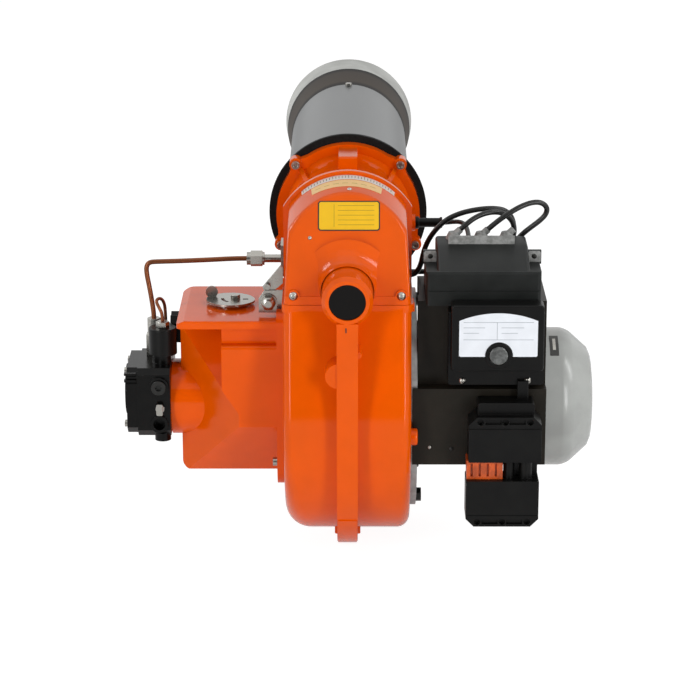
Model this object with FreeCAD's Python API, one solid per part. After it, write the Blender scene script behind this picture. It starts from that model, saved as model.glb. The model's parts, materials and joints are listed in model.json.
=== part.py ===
"""Pressure-jet burner for waste oil, in millimetres.

Origin on the blast tube's axis, at the face that meets the boiler. +Y runs along the tube into the boiler,
+X is to the right of the person who stands in front of the burner, +Z is up.
"""

import FreeCAD, Part
import math
import os

from FreeCAD import Vector

# Housing and cover
REACH = 365.0            # boiler face to the front of the sight port
WIDTH = 126.0            # outside width of the fan housing
WALL = 5.5               # wall of the fan housing casting
FAN_SETBACK = 150.0      # fan axis behind the port's face
FAN_DROP = 143.0         # fan axis below the tube axis
SCROLL_R = 135.0         # outside radius of the scroll round the fan axis
SCROLL_FRONT_ROUND = 9.0  # rounding of the housing's upright front edges
SCROLL_LEFT_ROUND = 28.0  # what the left edge's rounding grows to at the bottom
SCROLL_RIGHT_ROUND = 13.0  # what the right edge's rounding grows to at the bottom
SEAM_DROP = 13.7         # joint between housing and cover below the tube axis
SEAM_BAND = 8.0          # height of the thick rim under the joint
SEAM_PROUD = 1.5
PANEL_SETBACK = 40.0     # foot of the sloping front panel behind the port's face
PANEL_LEAN = 32.8        # degrees back from upright
COVER_LENGTH = 105.0     # from the panel's foot to the cover's rear end
COVER_WALL = 3.0
COVER_SIDE_DRAFT = 4.4   # how far each side leans in at the top of the straight side
COVER_SIDE_TOP = 60.0
VAULT_R = 71.3
VAULT_Z = 21.0           # centre height of the vault's arc at the rear end
VAULT_RISE = 0.16        # rise of the vault towards the rear, per unit of length
ARCH_PROUD = 4.0
ARCH_THICK = 6.0
COVER_GAP = 0.3
COVER_HALF = 63.3        # half width of the cover at the joint
COVER_FOOT = 8.7         # height of the cover's upright foot
COVER_FOOT_PROUD = 1.8
COVER_FOOT_SETBACK = 1.0
COVER_SCREW_X = 52.8
COVER_SCREW_Z = -4.5
COVER_SCREW_R = 2.5
COVER_SCREW_HEAD_R = 4.4
RIB_WIDTH = 20.8
RIB_PROUD = 15.0
FOOT_PROUD = 1.2
FOOT_WIDTH = 19.0
FOOT_START = 38.0        # degrees below the horizontal where the rib's foot pad starts
PORT_R = 25.0
PORT_FACE_R = 21.5
PORT_CHAMFER = 5.0
PORT_BORE_R = 18.0
PORT_TAIL = 40.0         # how far the port reaches behind the foot of the panel
GLASS_DEPTH = 2.0
GLASS_THICK = 4.0
FIT = 0.1                # clearance of fitted round parts
THREAD_GAP = 0.05        # clearance round threads

LEFT = -WIDTH / 2
RIGHT = WIDTH / 2
PORT_Y = -REACH
FAN_Y = PORT_Y + FAN_SETBACK
FAN_Z = -FAN_DROP
FAN_AXIS = (FAN_Y, FAN_Z)
SEAM_Z = -SEAM_DROP
FOOT_Z = SEAM_Z + COVER_FOOT
PANEL_Y = PORT_Y + PANEL_SETBACK
REAR_Y = PANEL_Y + COVER_LENGTH

# Tube, neck and flange
TUBE_R = 69.0
TUBE_WALL = 2.0
TUBE_END = 353.0
HEAD_END = TUBE_END + 64.0
HEAD_MOUTH_R = TUBE_R + 7.0
RING_END = HEAD_END + 47.0
RING_MOUTH_R = HEAD_MOUTH_R + 3.0
SLEEVE = 14.0
NECK_R = TUBE_R - 6.0
NECK_BORE = NECK_R - WALL
FLANGE_R = TUBE_R + 9.0
FLANGE_THICK = 14.0
GASKET_R = TUBE_R + 17.0
GASKET_THICK = 6.0
FLANGE_BACK = -GASKET_THICK
FLANGE_FRONT = FLANGE_BACK - FLANGE_THICK
FLARE_LENGTH = 16.0
EAR_PITCH_R = TUBE_R + 11.0
EAR_R = 7.0
EAR_SPREAD = 15.0        # degrees between an ear's axis and where its sides leave the flange
EAR_ANGLES = (45.0, 135.0, -24.0, -156.0)
FLANGE_SCREW_R = 3.0
FLANGE_SHANK_R = FLANGE_SCREW_R + 0.5  # the fixing screws inside the flange
FLANGE_SCREW_END = 22.0  # how far the fixing screws reach past the boiler face
LUG_WIDTH = 20.0
LUG_TOP = FLANGE_R - 2.0
LUG_FRONT = 70.0

# Fan, motor and coupling
FAN_R = 88.0
FAN_INNER_R = 66.0
FAN_LEFT = LEFT + 17.0
FAN_RIGHT = RIGHT - 29.0
FAN_BLADES = 32
FAN_DISC = 2.5
BLADE_THICK = 1.4
HUB_R = 16.0
HUB_LENGTH = 22.0
RIM_SEGMENTS = 8
RIM_SHARE = 2 * math.pi / RIM_SEGMENTS  # angle of one rim segment
SHAFT_R = 7.0
INLET_R = 62.0
MOTOR_HOLE_R = 94.0
MOTOR_FLANGE_R = 112.0
MOTOR_FLANGE_THICK = 6.5
MOTOR_FLANGE_FLAT = FAN_Y - 101.5
MOTOR_BOLT_ANGLES = (60, 120, 240, 300)
MOTOR_R = 66.0
MOTOR_IN = RIGHT + 17.0   # left end of the motor frame
MOTOR_END = MOTOR_IN + 120.0
COWL_R = 71.0
COWL_START = MOTOR_END + 3.5
COWL_END = COWL_START + 46.0
COWL_BEVEL = 20.0
MOTOR_BOLT_R = 4.0
ROTOR_LEFT = MOTOR_IN + 25.0
ROTOR_RIGHT = MOTOR_IN + 85.0
ROTOR_R = 36.0
PUMP_SHAFT_R = 4.0
CELL_R = 5.0             # photocell barrel
CELL_Y = -65.0
CELL_Z = 3.0
CELL_END = RIGHT + 38.0

# Oil line
PIPE_R = 2.5
PIPE_STEM_R = 4.1
NOZZLE_ENTRY_Y = REAR_Y + 19.0
NOZZLE_LINE_R = 6.0
NOZZLE_BLOCK_Y = TUBE_END + 19.0
NOZZLE_BLOCK_R = 13.0
ELECTRODE_RISE = 8.5
DISC_R = TUBE_R - 9.0
DISC_SLOTS = 12

# Air box and damper
BOX_RIGHT = LEFT - 8.0
BOX_LEFT = BOX_RIGHT - 99.5
BOX_FRONT = 75.0 - FAN_Y  # front of the air box ahead of the boiler face
BOX_BACK = -56.0 - FAN_Y
BOX_TOP = FAN_Z + 102.0
LID_THICK = 8.0
BOX_WALL = 4.5
BLOCK_LEFT = BOX_RIGHT - 55.0
BLOCK_TOP = BOX_TOP - 18.0
BLOCK_STEP = 10.0
BLOCK_CORNER = 16.7      # the block's bevelled corner from its left side
PUMP_BOSS_R = 38.7
PUMP_BOSS_LEFT = BOX_LEFT - 9.5
DAMPER_X = BOX_RIGHT - 43.0
DAMPER_Y = FAN_Y - 11.0
DAMPER_SHAFT_R = 4.0
BLADE_REACH = 33.0
BLADE_LOW = FAN_Z + 30.0
BLADE_HIGH = BLADE_LOW + 40.0
SHELF_Z = BLADE_LOW - 4.0
LEVER_Z = BOX_TOP + 3.1
LEVER_THICK = 2.2
BOX_BOTTOM = FAN_Z - 73.0
FLANGE_LOW = BOX_BOTTOM - 3.5
FLANGE_HIGH = BOX_TOP + 8.0
BOX_SCREW_R = 3.0
INTAKE_X0 = BOX_LEFT + 13.5
INTAKE_X1 = BOX_RIGHT - 8.0
INTAKE_Z0 = FAN_Z + 31.0
INTAKE_Z1 = INTAKE_Z0 + 58.0

# Oil pump and its valve
PUMP_SHAFT_END = PUMP_BOSS_LEFT + 20.0
PUMP_SPLIT = PUMP_BOSS_LEFT - 33.6
PUMP_LEFT = PUMP_SPLIT - 14.0
PUMP_FRONT = FAN_Y - 45.0
PUMP_REAR = FAN_Y + 40.0
PUMP_LOW = FAN_Z - 30.5
PUMP_HIGH = FAN_Z + 42.0
PUMP_FOOT_X = PUMP_BOSS_LEFT - 9.0
PUMP_FOOT_LOW = PUMP_LOW - 5.5
SPIGOT_R = 26.9
PORT_X = PUMP_BOSS_LEFT - 11.5
PORT_HIGH = FAN_Z + 24.0
PORT_LOW = FAN_Z - 15.5
PORT_THREAD_R = 6.0
PORT_THREAD_DEPTH = 12.0
BLEED_Z = FAN_Z + 1.0
RIB_Z = PUMP_HIGH - 6.5
COIL_X = PUMP_BOSS_LEFT - 8.5
COIL_Y = FAN_Y - 15.0
COIL_R = 14.3
COIL_HEIGHT = 27.5
COIL_TOP = PUMP_HIGH + 36.5
COIL_LOW = COIL_TOP - COIL_HEIGHT
COIL_STEM_R = 5.0
UNION_X = PUMP_BOSS_LEFT - 19.0
UNION_Y = FAN_Y + 10.0
UNION_BLOCK = 22.0
UNION_TOP = PUMP_HIGH + 39.0
BYPASS_X = UNION_X + 12.0
BYPASS_R = 1.7
LOOP_TOP = UNION_TOP + 24.0
CORNER_X = UNION_X - 7.0
CORNER_Z = -6.0
NUT_X0 = LEFT - 40.0
NUT_X1 = LEFT - 22.0
HINGE_X = LEFT - 16.0
HINGE_Y = FAN_Y - 53.0
HINGE_Z = -27.0

# Controls
SHEET = 2.0              # sheet of the bracket
BRACKET_X0 = RIGHT + 1.5
BRACKET_X1 = RIGHT + 134.0
BRACKET_Y = FAN_Y - 105.0
BRACKET_LOW = -181.0
BRACKET_STEP = -101.5
RECESS_Y = FAN_Y - 87.0
SHELF_TOP = -16.0
SHELF_REAR = FAN_Y + 5.0
RETURN_X = RIGHT + 6.7
RETURN_Y = FAN_Y - 65.0
CONTROL_X0 = RIGHT + 38.3
CONTROL_X1 = CONTROL_X0 + 90.5
CONTROL_LOW = -75.3
CONTROL_HIGH = -8.7
CONTROL_SKIRT = 20.2
CONTROL_FRONT = FAN_Y - 130.0
CONTROL_SPLIT = FAN_Y - 110.0
BASE_SCREW_R = 1.8
BUTTON_X = RIGHT + 84.7
BUTTON_Z = -59.0
BUTTON_R = 9.1
BUTTON_DEPTH = 14.0
BUTTON_TRAVEL = 3.0
COIL_BOX_X0 = RIGHT + 14.0
COIL_BOX_X1 = COIL_BOX_X0 + 113.0
COIL_BOX_FRONT = FAN_Y - 105.0
COIL_BOX_REAR = FAN_Y - 23.0
COIL_BOX_KNEE = 18.0
COIL_BOX_TOP = 33.5
LEAD_X = RIGHT + 43.0
LEAD_PITCH = 27.5
LEAD_Y = COIL_BOX_REAR - 10.0
LEAD_R = 2.7
NECK_REACH_X = 7.0       # how far a bush's slanting neck reaches to the right
NECK_REACH_Z = 9.5
CELL_LEAD_R = 2.5
CONNECTOR_X0 = RIGHT + 56.3
CONNECTOR_X1 = CONNECTOR_X0 + 71.7
CONNECTOR_FRONT = FAN_Y - 138.0
CONNECTOR_LOW = -167.3
CONNECTOR_HIGH = -120.4
PLUG_LOW = -234.5
PLUG_HIGH = -186.9


def box(x0, x1, y0, y1, z0, z1):
    """Block between two corners."""
    return Part.makeBox(x1 - x0, y1 - y0, z1 - z0, Vector(x0, y0, z0))


def rod(radius, start, end):
    """Round bar between two points."""
    a = Vector(*start)
    b = Vector(*end)
    return Part.makeCylinder(radius, (b - a).Length, a, b - a)


def taper(radius_a, radius_b, start, end):
    """Cone between two points."""
    a = Vector(*start)
    b = Vector(*end)
    return Part.makeCone(radius_a, radius_b, (b - a).Length, a, b - a)


def pipe(outer, inner, start, end):
    """Tube between two points."""
    return rod(outer, start, end).cut(rod(inner, start, end))


def polygon(points):
    """Flat face from corner points."""
    corners = [Vector(*p) for p in points]
    return Part.Face(Part.makePolygon(corners + [corners[0]]))


def prism_x(points, x0, x1):
    """Profile of (y, z) corners run along X."""
    return polygon([(x0, y, z) for y, z in points]).extrude(Vector(x1 - x0, 0, 0))


def prism_y(points, y0, y1):
    """Profile of (x, z) corners run along Y."""
    return polygon([(x, y0, z) for x, z in points]).extrude(Vector(0, y1 - y0, 0))


def prism_z(points, z0, z1):
    """Profile of (x, y) corners run along Z."""
    return polygon([(x, y, z0) for x, y in points]).extrude(Vector(0, 0, z1 - z0))


def turned_x(points, axis):
    """Profile of (x, radius) corners turned about a line along X through axis (y, z)."""
    y, z = axis
    face = polygon([(x, y, z + r) for x, r in points])
    return face.revolve(Vector(0, y, z), Vector(1, 0, 0), 360)


def turned_y(points, x=0.0, z=0.0):
    """Profile of (y, radius) corners turned about a line along Y."""
    face = polygon([(x, y, z + r) for y, r in points])
    return face.revolve(Vector(x, 0, z), Vector(0, 1, 0), 360)


def hexagon(across, start, end):
    """Hexagonal bar between two points."""
    a = Vector(*start)
    b = Vector(*end)
    corner = across / math.sqrt(3)
    points = [Vector(corner * math.cos(math.radians(60 * i)), corner * math.sin(math.radians(60 * i)), 0)
              for i in range(7)]
    bar = Part.Face(Part.makePolygon(points)).extrude(Vector(0, 0, (b - a).Length))
    bar.Placement = FreeCAD.Placement(a, FreeCAD.Rotation(Vector(0, 0, 1), b - a))
    return bar


def union(first, *others):
    """Join shapes into one."""
    return first.fuse(list(others)).removeSplitter()


def rounded(shape, radius, chosen):
    """Fillet the edges whose midpoint passes the test."""
    edges = [e for e in shape.Edges if chosen(e.BoundBox.Center, e)]
    return shape.makeFillet(radius, edges)


def fan_point(radius, degrees, x):
    """Point round the fan axis, measured from the front and downwards."""
    a = math.radians(degrees)
    return Vector(x, FAN_Y - radius * math.cos(a), FAN_Z - radius * math.sin(a))


def cap_screw(radius, head_r, head_h, seat, tip):
    """Socket-head screw whose head sits on seat and whose shank ends at tip."""
    a = Vector(*seat)
    b = Vector(*tip)
    back = (a - b).normalize() * head_h
    top = a + back
    body = union(rod(radius, a + back * 0.1, b), rod(head_r, a, top))
    return body.cut(hexagon(head_r, top - back * 0.5, top + back * 0.1))


def dome_screw(radius, head_r, head_h, seat, tip):
    """Screw with a domed head."""
    a = Vector(*seat)
    b = Vector(*tip)
    out = (a - b).normalize()
    ball_r = (head_r ** 2 + head_h ** 2) / (2 * head_h)
    ball = Part.makeSphere(ball_r, a - out * (ball_r - head_h))
    head = ball.common(rod(head_r, a, a + out * (head_h + 1)))
    body = union(rod(radius, a - out * -0.2, b), head)
    top = a + out * head_h
    return body.cut(hexagon(head_r * 0.8, top - out * head_h * 0.6, top + out))


def hex_bolt(radius, across, head_h, seat, tip):
    """Bolt with a hexagon head."""
    a = Vector(*seat)
    b = Vector(*tip)
    out = (a - b).normalize()
    return union(rod(radius, a + out * 0.5, b), hexagon(across, a, a + out * head_h))


def scroll_face(x, inset):
    """Side outline of the fan housing at x, moved inwards by inset."""
    radius = SCROLL_R - inset
    front = PANEL_Y + inset
    top = SEAM_Z - inset
    away_y = FAN_Y - front
    away_z = top - FAN_Z
    far = math.hypot(away_y, away_z)
    lift = math.degrees(math.atan2(away_z, away_y) - math.acos(radius / far))
    touch = fan_point(radius, -lift, x)
    low = fan_point(radius, 90, x)
    back = fan_point(radius, 180, x)
    front_mid = fan_point(radius, 45, x)
    back_mid = fan_point(radius, 135, x)
    start = Vector(x, front, top)
    corner = Vector(x, FAN_Y + radius, -inset)
    step = Vector(x, REAR_Y + inset, -inset)
    step_low = Vector(x, REAR_Y + inset, top)
    edges = [
        Part.makeLine(start, touch),
        Part.Arc(touch, front_mid, low).toShape(),
        Part.Arc(low, back_mid, back).toShape(),
        Part.makeLine(back, corner),
        Part.makeLine(corner, step),
        Part.makeLine(step, step_low),
        Part.makeLine(step_low, start),
    ]
    return Part.Face(Part.Wire(edges))


def scroll_solid(inset):
    """Closed body of the fan housing, moved inwards by inset, with its round edges."""
    left = LEFT + inset
    right = RIGHT - inset
    body = scroll_face(left, inset).extrude(Vector(right - left, 0, 0))

    def lower_arc(side):
        """Edge between the round front and one side, from the upright wall down to the lowest point."""
        low = fan_point(SCROLL_R - inset, 90, side)
        for edge in body.Edges:
            b = edge.BoundBox
            if b.XLength < 0.01 and b.ZLength > 1 and b.YMax < low.y + 0.01 and any(
                    v.Point.distanceToPoint(low) < 0.01 for v in edge.Vertexes):
                return edge
        return None

    body = body.makeFillet(SCROLL_FRONT_ROUND - inset, SCROLL_LEFT_ROUND - inset, [lower_arc(left)])
    return body.makeFillet(SCROLL_FRONT_ROUND - inset, SCROLL_RIGHT_ROUND - inset, [lower_arc(right)])


# Fan housing

def arch_solid(grow, y0, y1):
    """Arch-shaped body between two stations, grown outwards from the cover's rear section."""
    half = RIGHT + min(grow, 0) + max(grow, 0) * 0.5
    legs = box(-half, half, y0, y1, SEAM_Z - 4, VAULT_Z + 40)
    vault = rod(VAULT_R + grow, (0, y0, VAULT_Z), (0, y1, VAULT_Z))
    return legs.fuse(box(-half, half, y0, y1, VAULT_Z, VAULT_Z + 80)).common(
        vault.fuse(box(-half, half, y0, y1, SEAM_Z - 4, VAULT_Z + 10)))


def ear_centre(degrees):
    """Centre of a flange ear in (x, z)."""
    a = math.radians(degrees)
    return EAR_PITCH_R * math.cos(a), EAR_PITCH_R * math.sin(a)


def flange_solid():
    """Boiler flange with its ears, the neck behind it and the flare between them."""
    neck = rod(NECK_R, (0, REAR_Y + 2, 0), (0, FLANGE_FRONT + 1, 0))
    flare = taper(NECK_R, TUBE_R, (0, FLANGE_FRONT - FLARE_LENGTH, 0), (0, FLANGE_FRONT + 0.5, 0))
    parts = [rod(FLANGE_R, (0, FLANGE_FRONT, 0), (0, FLANGE_BACK, 0)), flare]
    for angle in EAR_ANGLES:
        x, z = ear_centre(angle)
        parts.append(rod(EAR_R, (x, FLANGE_FRONT - 2, z), (x, FLANGE_BACK, z)))
        inward = Vector(x, 0, z).normalize()
        side = Vector(inward.z, 0, -inward.x)
        sides = [(x + side.x * EAR_R, z + side.z * EAR_R), (x - side.x * EAR_R, z - side.z * EAR_R)]
        for spread in (EAR_SPREAD, -EAR_SPREAD):
            a = math.radians(angle + spread)
            sides.append(((FLANGE_R - 1) * math.cos(a), (FLANGE_R - 1) * math.sin(a)))
        parts.append(prism_y(sides, FLANGE_FRONT, FLANGE_BACK))
        gusset = [inward * (NECK_R - 3), inward * (EAR_PITCH_R - EAR_R + 1)]
        tall = [gusset[0] + Vector(0, FLANGE_FRONT - 34, 0), gusset[0] + Vector(0, FLANGE_FRONT + 1, 0),
                gusset[1] + Vector(0, FLANGE_FRONT + 1, 0)]
        face = polygon([p - side * 2.5 for p in tall])
        parts.append(face.extrude(side * 5))
    lug = prism_x([(-LUG_FRONT, NECK_R - 6), (-LUG_FRONT, LUG_TOP - 2), (-LUG_FRONT + 2, LUG_TOP),
                   (FLANGE_FRONT + 4, LUG_TOP), (FLANGE_FRONT + 4, NECK_R - 6)], -LUG_WIDTH / 2, LUG_WIDTH / 2)
    parts.append(lug)
    return neck.fuse(parts)


def port_solid():
    """Boss of the sight port, the tall rib below it and the rib's foot."""
    boss = turned_y([(PORT_Y, 0), (PORT_Y, PORT_FACE_R), (PORT_Y + PORT_CHAMFER, PORT_R),
                     (PANEL_Y + PORT_TAIL, PORT_R + 1), (PANEL_Y + PORT_TAIL, 0)])
    outer = SCROLL_R + RIB_PROUD
    half = RIB_WIDTH / 2
    face_top = Vector(-half, FAN_Y - outer, -PORT_FACE_R)
    low = fan_point(outer, 90, -half)
    mid = fan_point(outer, 45, -half)
    side = fan_point(outer, 0, -half)
    inner_y = PANEL_Y + 14
    wire = Part.Wire([
        Part.makeLine(face_top, side),
        Part.Arc(side, mid, low).toShape(),
        Part.makeLine(low, Vector(-half, FAN_Y + 22, low.z)),
        Part.makeLine(Vector(-half, FAN_Y + 22, low.z), Vector(-half, FAN_Y + 32, FAN_Z - SCROLL_R + 8)),
        Part.makeLine(Vector(-half, FAN_Y + 32, FAN_Z - SCROLL_R + 8), Vector(-half, FAN_Y + 32, FAN_Z - 100)),
        Part.makeLine(Vector(-half, FAN_Y + 32, FAN_Z - 100), Vector(-half, inner_y, -PORT_FACE_R)),
        Part.makeLine(Vector(-half, inner_y, -PORT_FACE_R), face_top),
    ])
    rib = Part.Face(wire).extrude(Vector(RIB_WIDTH, 0, 0))
    pad_r = outer + FOOT_PROUD
    start = math.radians(FOOT_START)
    sector = [(FAN_Y, FAN_Z), (FAN_Y - 300 * math.cos(start), FAN_Z - 300 * math.sin(start)),
              (FAN_Y - 60, FAN_Z - 300), (FAN_Y, FAN_Z - 300)]
    pad = rod(pad_r, (-FOOT_WIDTH / 2, FAN_Y, FAN_Z), (FOOT_WIDTH / 2, FAN_Y, FAN_Z)).cut(
        rod(SCROLL_R - 1, (-FOOT_WIDTH / 2, FAN_Y, FAN_Z), (FOOT_WIDTH / 2, FAN_Y, FAN_Z))).common(
        prism_x(sector, -FOOT_WIDTH / 2, FOOT_WIDTH / 2))
    return boss, rib, pad


def fan_housing():
    """Cast scroll with its neck, boiler flange, sight port and ribs."""
    boss, rib, pad = port_solid()
    outside = scroll_solid(0.0)
    band_z = SEAM_Z - SEAM_BAND
    band = box(LEFT - SEAM_PROUD, RIGHT + SEAM_PROUD, PANEL_Y - SEAM_PROUD, REAR_Y, band_z, SEAM_Z)
    band = rounded(band, SCROLL_FRONT_ROUND, lambda c, e: e.BoundBox.ZLength > 7 and c.y < PANEL_Y)
    half = RIB_WIDTH / 2
    lobe = rod(12.3, (-half + 1, PORT_Y + 1.5, -75), (-half + 1, PORT_Y + 45, -75))
    nub = rod(3.2, (half + 0.5, PORT_Y + 3, -54), (half + 0.5, PORT_Y + 45, -54))
    side_nub = rod(8.5, (RIGHT - 3, PORT_Y + 35, FAN_Z - 5), (RIGHT + 6.5, PORT_Y + 35, FAN_Z - 5))
    side_nub = rounded(side_nub, 2.0, lambda c, e: c.x > RIGHT + 6 and e.BoundBox.YLength > 5)
    ear_x = RIGHT + 0.6
    seam_ear = rod(5.0, (ear_x, PANEL_Y + 12, SEAM_Z - 5), (RIGHT + 3.0, PANEL_Y + 12, SEAM_Z - 5))
    seam_ear_back = rod(5.0, (ear_x, PANEL_Y + 26, SEAM_Z - 5), (RIGHT + 2.4, PANEL_Y + 26, SEAM_Z - 5))
    foot_nubs = [rod(2.6, (s * (half + 0.3), FAN_Y - 30, FAN_Z - SCROLL_R + 10),
                     (s * (half + 0.3), FAN_Y - 30, FAN_Z - SCROLL_R - 5)) for s in (-1, 1)]
    arch = arch_solid(ARCH_PROUD, REAR_Y, REAR_Y + ARCH_THICK)
    cell_boss = rod(CELL_R + 4, (NECK_R - 4, CELL_Y, CELL_Z), (NECK_R + 9, CELL_Y, CELL_Z))
    outside = outside.fuse([band, boss, rib, pad, lobe, nub, side_nub, seam_ear, seam_ear_back, arch, cell_boss,
                            flange_solid()] + foot_nubs)
    inside = scroll_solid(WALL)
    mouth = box(LEFT + WALL, RIGHT - WALL, PANEL_Y + WALL, REAR_Y - WALL, band_z - 5, SEAM_Z + 1)
    throat = rod(NECK_BORE, (0, REAR_Y - WALL - 1, 0), (0, FLANGE_BACK + 1, 0))
    sight = rod(PORT_BORE_R, (0, PORT_Y - 1, 0), (0, PANEL_Y + PORT_TAIL + 1, 0))
    inlet = rod(INLET_R, (LEFT - 5, FAN_Y, FAN_Z), (LEFT + WALL + 1, FAN_Y, FAN_Z))
    drive = rod(MOTOR_HOLE_R, (RIGHT - WALL - 1, FAN_Y, FAN_Z), (RIGHT + 9, FAN_Y, FAN_Z))
    body = outside.cut([inside, mouth, throat, sight, inlet, drive])
    lean = math.tan(math.radians(PANEL_LEAN))
    foot, bend, panel = cover_front(COVER_WALL + FIT)
    lug_top = COVER_SCREW_Z + 6
    lug_high = foot + (lug_top - bend) * lean
    lug_back = lug_high + 6
    low_y = PANEL_Y + WALL - 0.5
    lug = [(low_y, SEAM_Z - 22), (low_y, SEAM_Z - 1), (foot, SEAM_Z - 1), (foot, bend), (lug_high, lug_top),
           (lug_back, lug_top), (lug_back, SEAM_Z - 22)]
    lugs = [prism_x(lug, x - 5, x + 5) for x in (-COVER_SCREW_X, COVER_SCREW_X)]
    body = body.fuse(lugs)
    holes = []
    for angle in EAR_ANGLES:
        x, z = ear_centre(angle)
        holes.append(rod(FLANGE_SHANK_R + FIT, (x, FLANGE_FRONT - 3, z), (x, FLANGE_BACK + 1, z)))
    for x in (-COVER_SCREW_X, COVER_SCREW_X):
        holes.append(rod(COVER_SCREW_R + FIT, (x, PANEL_Y, COVER_SCREW_Z),
                         (x, PANEL_Y + 30, COVER_SCREW_Z)))
    holes.append(rod(PIPE_STEM_R + FIT, (LEFT - 1, NOZZLE_ENTRY_Y, 0), (LEFT + WALL + 1, NOZZLE_ENTRY_Y, 0)))
    holes.append(rod(CELL_R + FIT, (NECK_BORE - 8, CELL_Y, CELL_Z), (NECK_R + 20, CELL_Y, CELL_Z)))
    for y, z in motor_bolt_places():
        holes.append(rod(MOTOR_BOLT_R + THREAD_GAP, (RIGHT - WALL - 1, y, z), (RIGHT + 1, y, z)))
    for y, z in box_screw_places():
        holes.append(rod(BOX_SCREW_R + THREAD_GAP, (LEFT - 1, y, z), (LEFT + WALL + 1, y, z)))
    return body.cut(holes)


def motor_bolt_places():
    """Centres of the motor flange's bolts in (y, z)."""
    pitch = (MOTOR_HOLE_R + MOTOR_FLANGE_R) / 2
    places = []
    for angle in MOTOR_BOLT_ANGLES:
        a = math.radians(angle)
        places.append((FAN_Y + pitch * math.cos(a), FAN_Z + pitch * math.sin(a)))
    return places


# Cover

def cover_section(inset, length):
    """Section of the cover at its rear end, swept forwards and down."""
    base = COVER_HALF - inset
    top = COVER_HALF - COVER_SIDE_DRAFT - inset
    radius = VAULT_R - inset
    reach = math.sqrt(radius ** 2 - top ** 2)
    side_z = VAULT_Z + reach
    y = REAR_Y - COVER_GAP
    legs = -40.0
    spread = base + COVER_SIDE_DRAFT * (SEAM_Z - legs) / (COVER_SIDE_TOP - SEAM_Z)
    arc = Part.Arc(Vector(-top, y, side_z), Vector(0, y, VAULT_Z + radius), Vector(top, y, side_z))
    wire = Part.Wire([
        Part.makeLine(Vector(-spread, y, legs), Vector(-top, y, side_z)),
        arc.toShape(),
        Part.makeLine(Vector(top, y, side_z), Vector(spread, y, legs)),
        Part.makeLine(Vector(spread, y, legs), Vector(-spread, y, legs)),
    ])
    return Part.Face(wire).extrude(Vector(0, -length, -length * VAULT_RISE))


def cover_front(inset):
    """Y of the cover's upright foot, the height where it meets the panel's plane, and the plane's Y at the
    top of the foot, all moved inwards by inset."""
    angle = math.radians(PANEL_LEAN)
    panel = PANEL_Y + COVER_FOOT_SETBACK + inset / math.cos(angle)
    foot = PANEL_Y + COVER_FOOT_SETBACK - COVER_FOOT_PROUD + inset
    return foot, FOOT_Z + (foot - panel) / math.tan(angle), panel


def cover_outside():
    """Side outline of the cover above its foot in (y, z)."""
    lean = math.tan(math.radians(PANEL_LEAN))
    foot, bend, panel = cover_front(0.0)
    low = SEAM_Z + COVER_GAP
    rear = REAR_Y - COVER_GAP
    high = VAULT_Z + VAULT_R + 20
    return [(foot + 7, low), (foot + 7, FOOT_Z - 1), (panel - lean, FOOT_Z - 1),
            (panel + (high - FOOT_Z) * lean, high), (rear, high), (rear, low)]


def cover_inside():
    """Side outline of the room inside the cover in (y, z)."""
    lean = math.tan(math.radians(PANEL_LEAN))
    foot, bend, panel = cover_front(COVER_WALL)
    low = SEAM_Z + COVER_GAP - 1
    rear = REAR_Y - COVER_GAP + 1
    high = VAULT_Z + VAULT_R + 20
    return [(foot, low), (foot, bend), (panel + (high - FOOT_Z) * lean, high), (rear, high), (rear, low)]


def housing_cover():
    """Vaulted cover with a sloping front panel, an upright foot and a flared collar round the sight port."""
    length = COVER_LENGTH + 2 * PANEL_SETBACK
    wide = RIGHT + 20
    outer = cover_section(0.0, length).common(prism_x(cover_outside(), -wide, wide))
    top_edge = VAULT_Z + 20

    def crease(centre, edge):
        b = edge.BoundBox
        return b.XLength > 100 and b.ZMin > top_edge - 10 and b.YMax < REAR_Y - 5

    def corners(centre, edge):
        b = edge.BoundBox
        return b.XLength < 8 and b.ZLength > 30 and b.YLength > 10 and centre.y < REAR_Y - 30

    outer = rounded(outer, 9.0, crease)
    outer = rounded(outer, 4.0, corners)
    foot_y, bend, panel = cover_front(0.0)
    foot = cover_section(0.0, length).common(
        box(-wide, wide, foot_y, foot_y + 12, SEAM_Z + COVER_GAP, FOOT_Z))
    foot = rounded(foot, 6.0, lambda c, e: e.BoundBox.ZLength > COVER_FOOT - 1 and c.y < foot_y + 1)
    r = PORT_R + 1
    y = PORT_Y + PANEL_SETBACK
    collar = turned_y([(y - 3, r), (y - 3, r + 0.8), (y + 3, r + 1.5), (y + 9, r + 3.5), (y + 15, r + 7),
                       (y + 20, r + 12), (y + 25, r + 20), (y + 25, r)])
    collar = collar.cut(box(-wide, wide, y - 5, y + 30, -wide, SEAM_Z + COVER_GAP))
    pads = [rod(5.8, (x, cover_screw_seat(), COVER_SCREW_Z), (x, cover_screw_seat() + 9, COVER_SCREW_Z))
            for x in (-COVER_SCREW_X, COVER_SCREW_X)]
    rear_skin = cover_section(COVER_WALL, length + 2)
    rear_skin.translate(Vector(0, 1, 0))
    inner = rear_skin.common(prism_x(cover_inside(), -wide, wide))
    notch = rod(r + COVER_GAP, (0, PORT_Y, 0), (0, PANEL_Y + PORT_TAIL + 5, 0))
    shell = outer.fuse([foot, collar] + pads).cut([inner, notch])
    holes = []
    for x in (-COVER_SCREW_X, COVER_SCREW_X):
        holes.append(rod(COVER_SCREW_R + FIT, (x, PANEL_Y - 5, COVER_SCREW_Z), (x, PANEL_Y + 20, COVER_SCREW_Z)))
        holes.append(rod(COVER_SCREW_HEAD_R + FIT, (x, PANEL_Y - 9, COVER_SCREW_Z),
                         (x, cover_screw_seat(), COVER_SCREW_Z)))
    return shell.cut(holes)


def cover_screw_seat():
    """Y of the pads under the cover's screw heads."""
    return cover_front(0.0)[0] + 0.3


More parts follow.
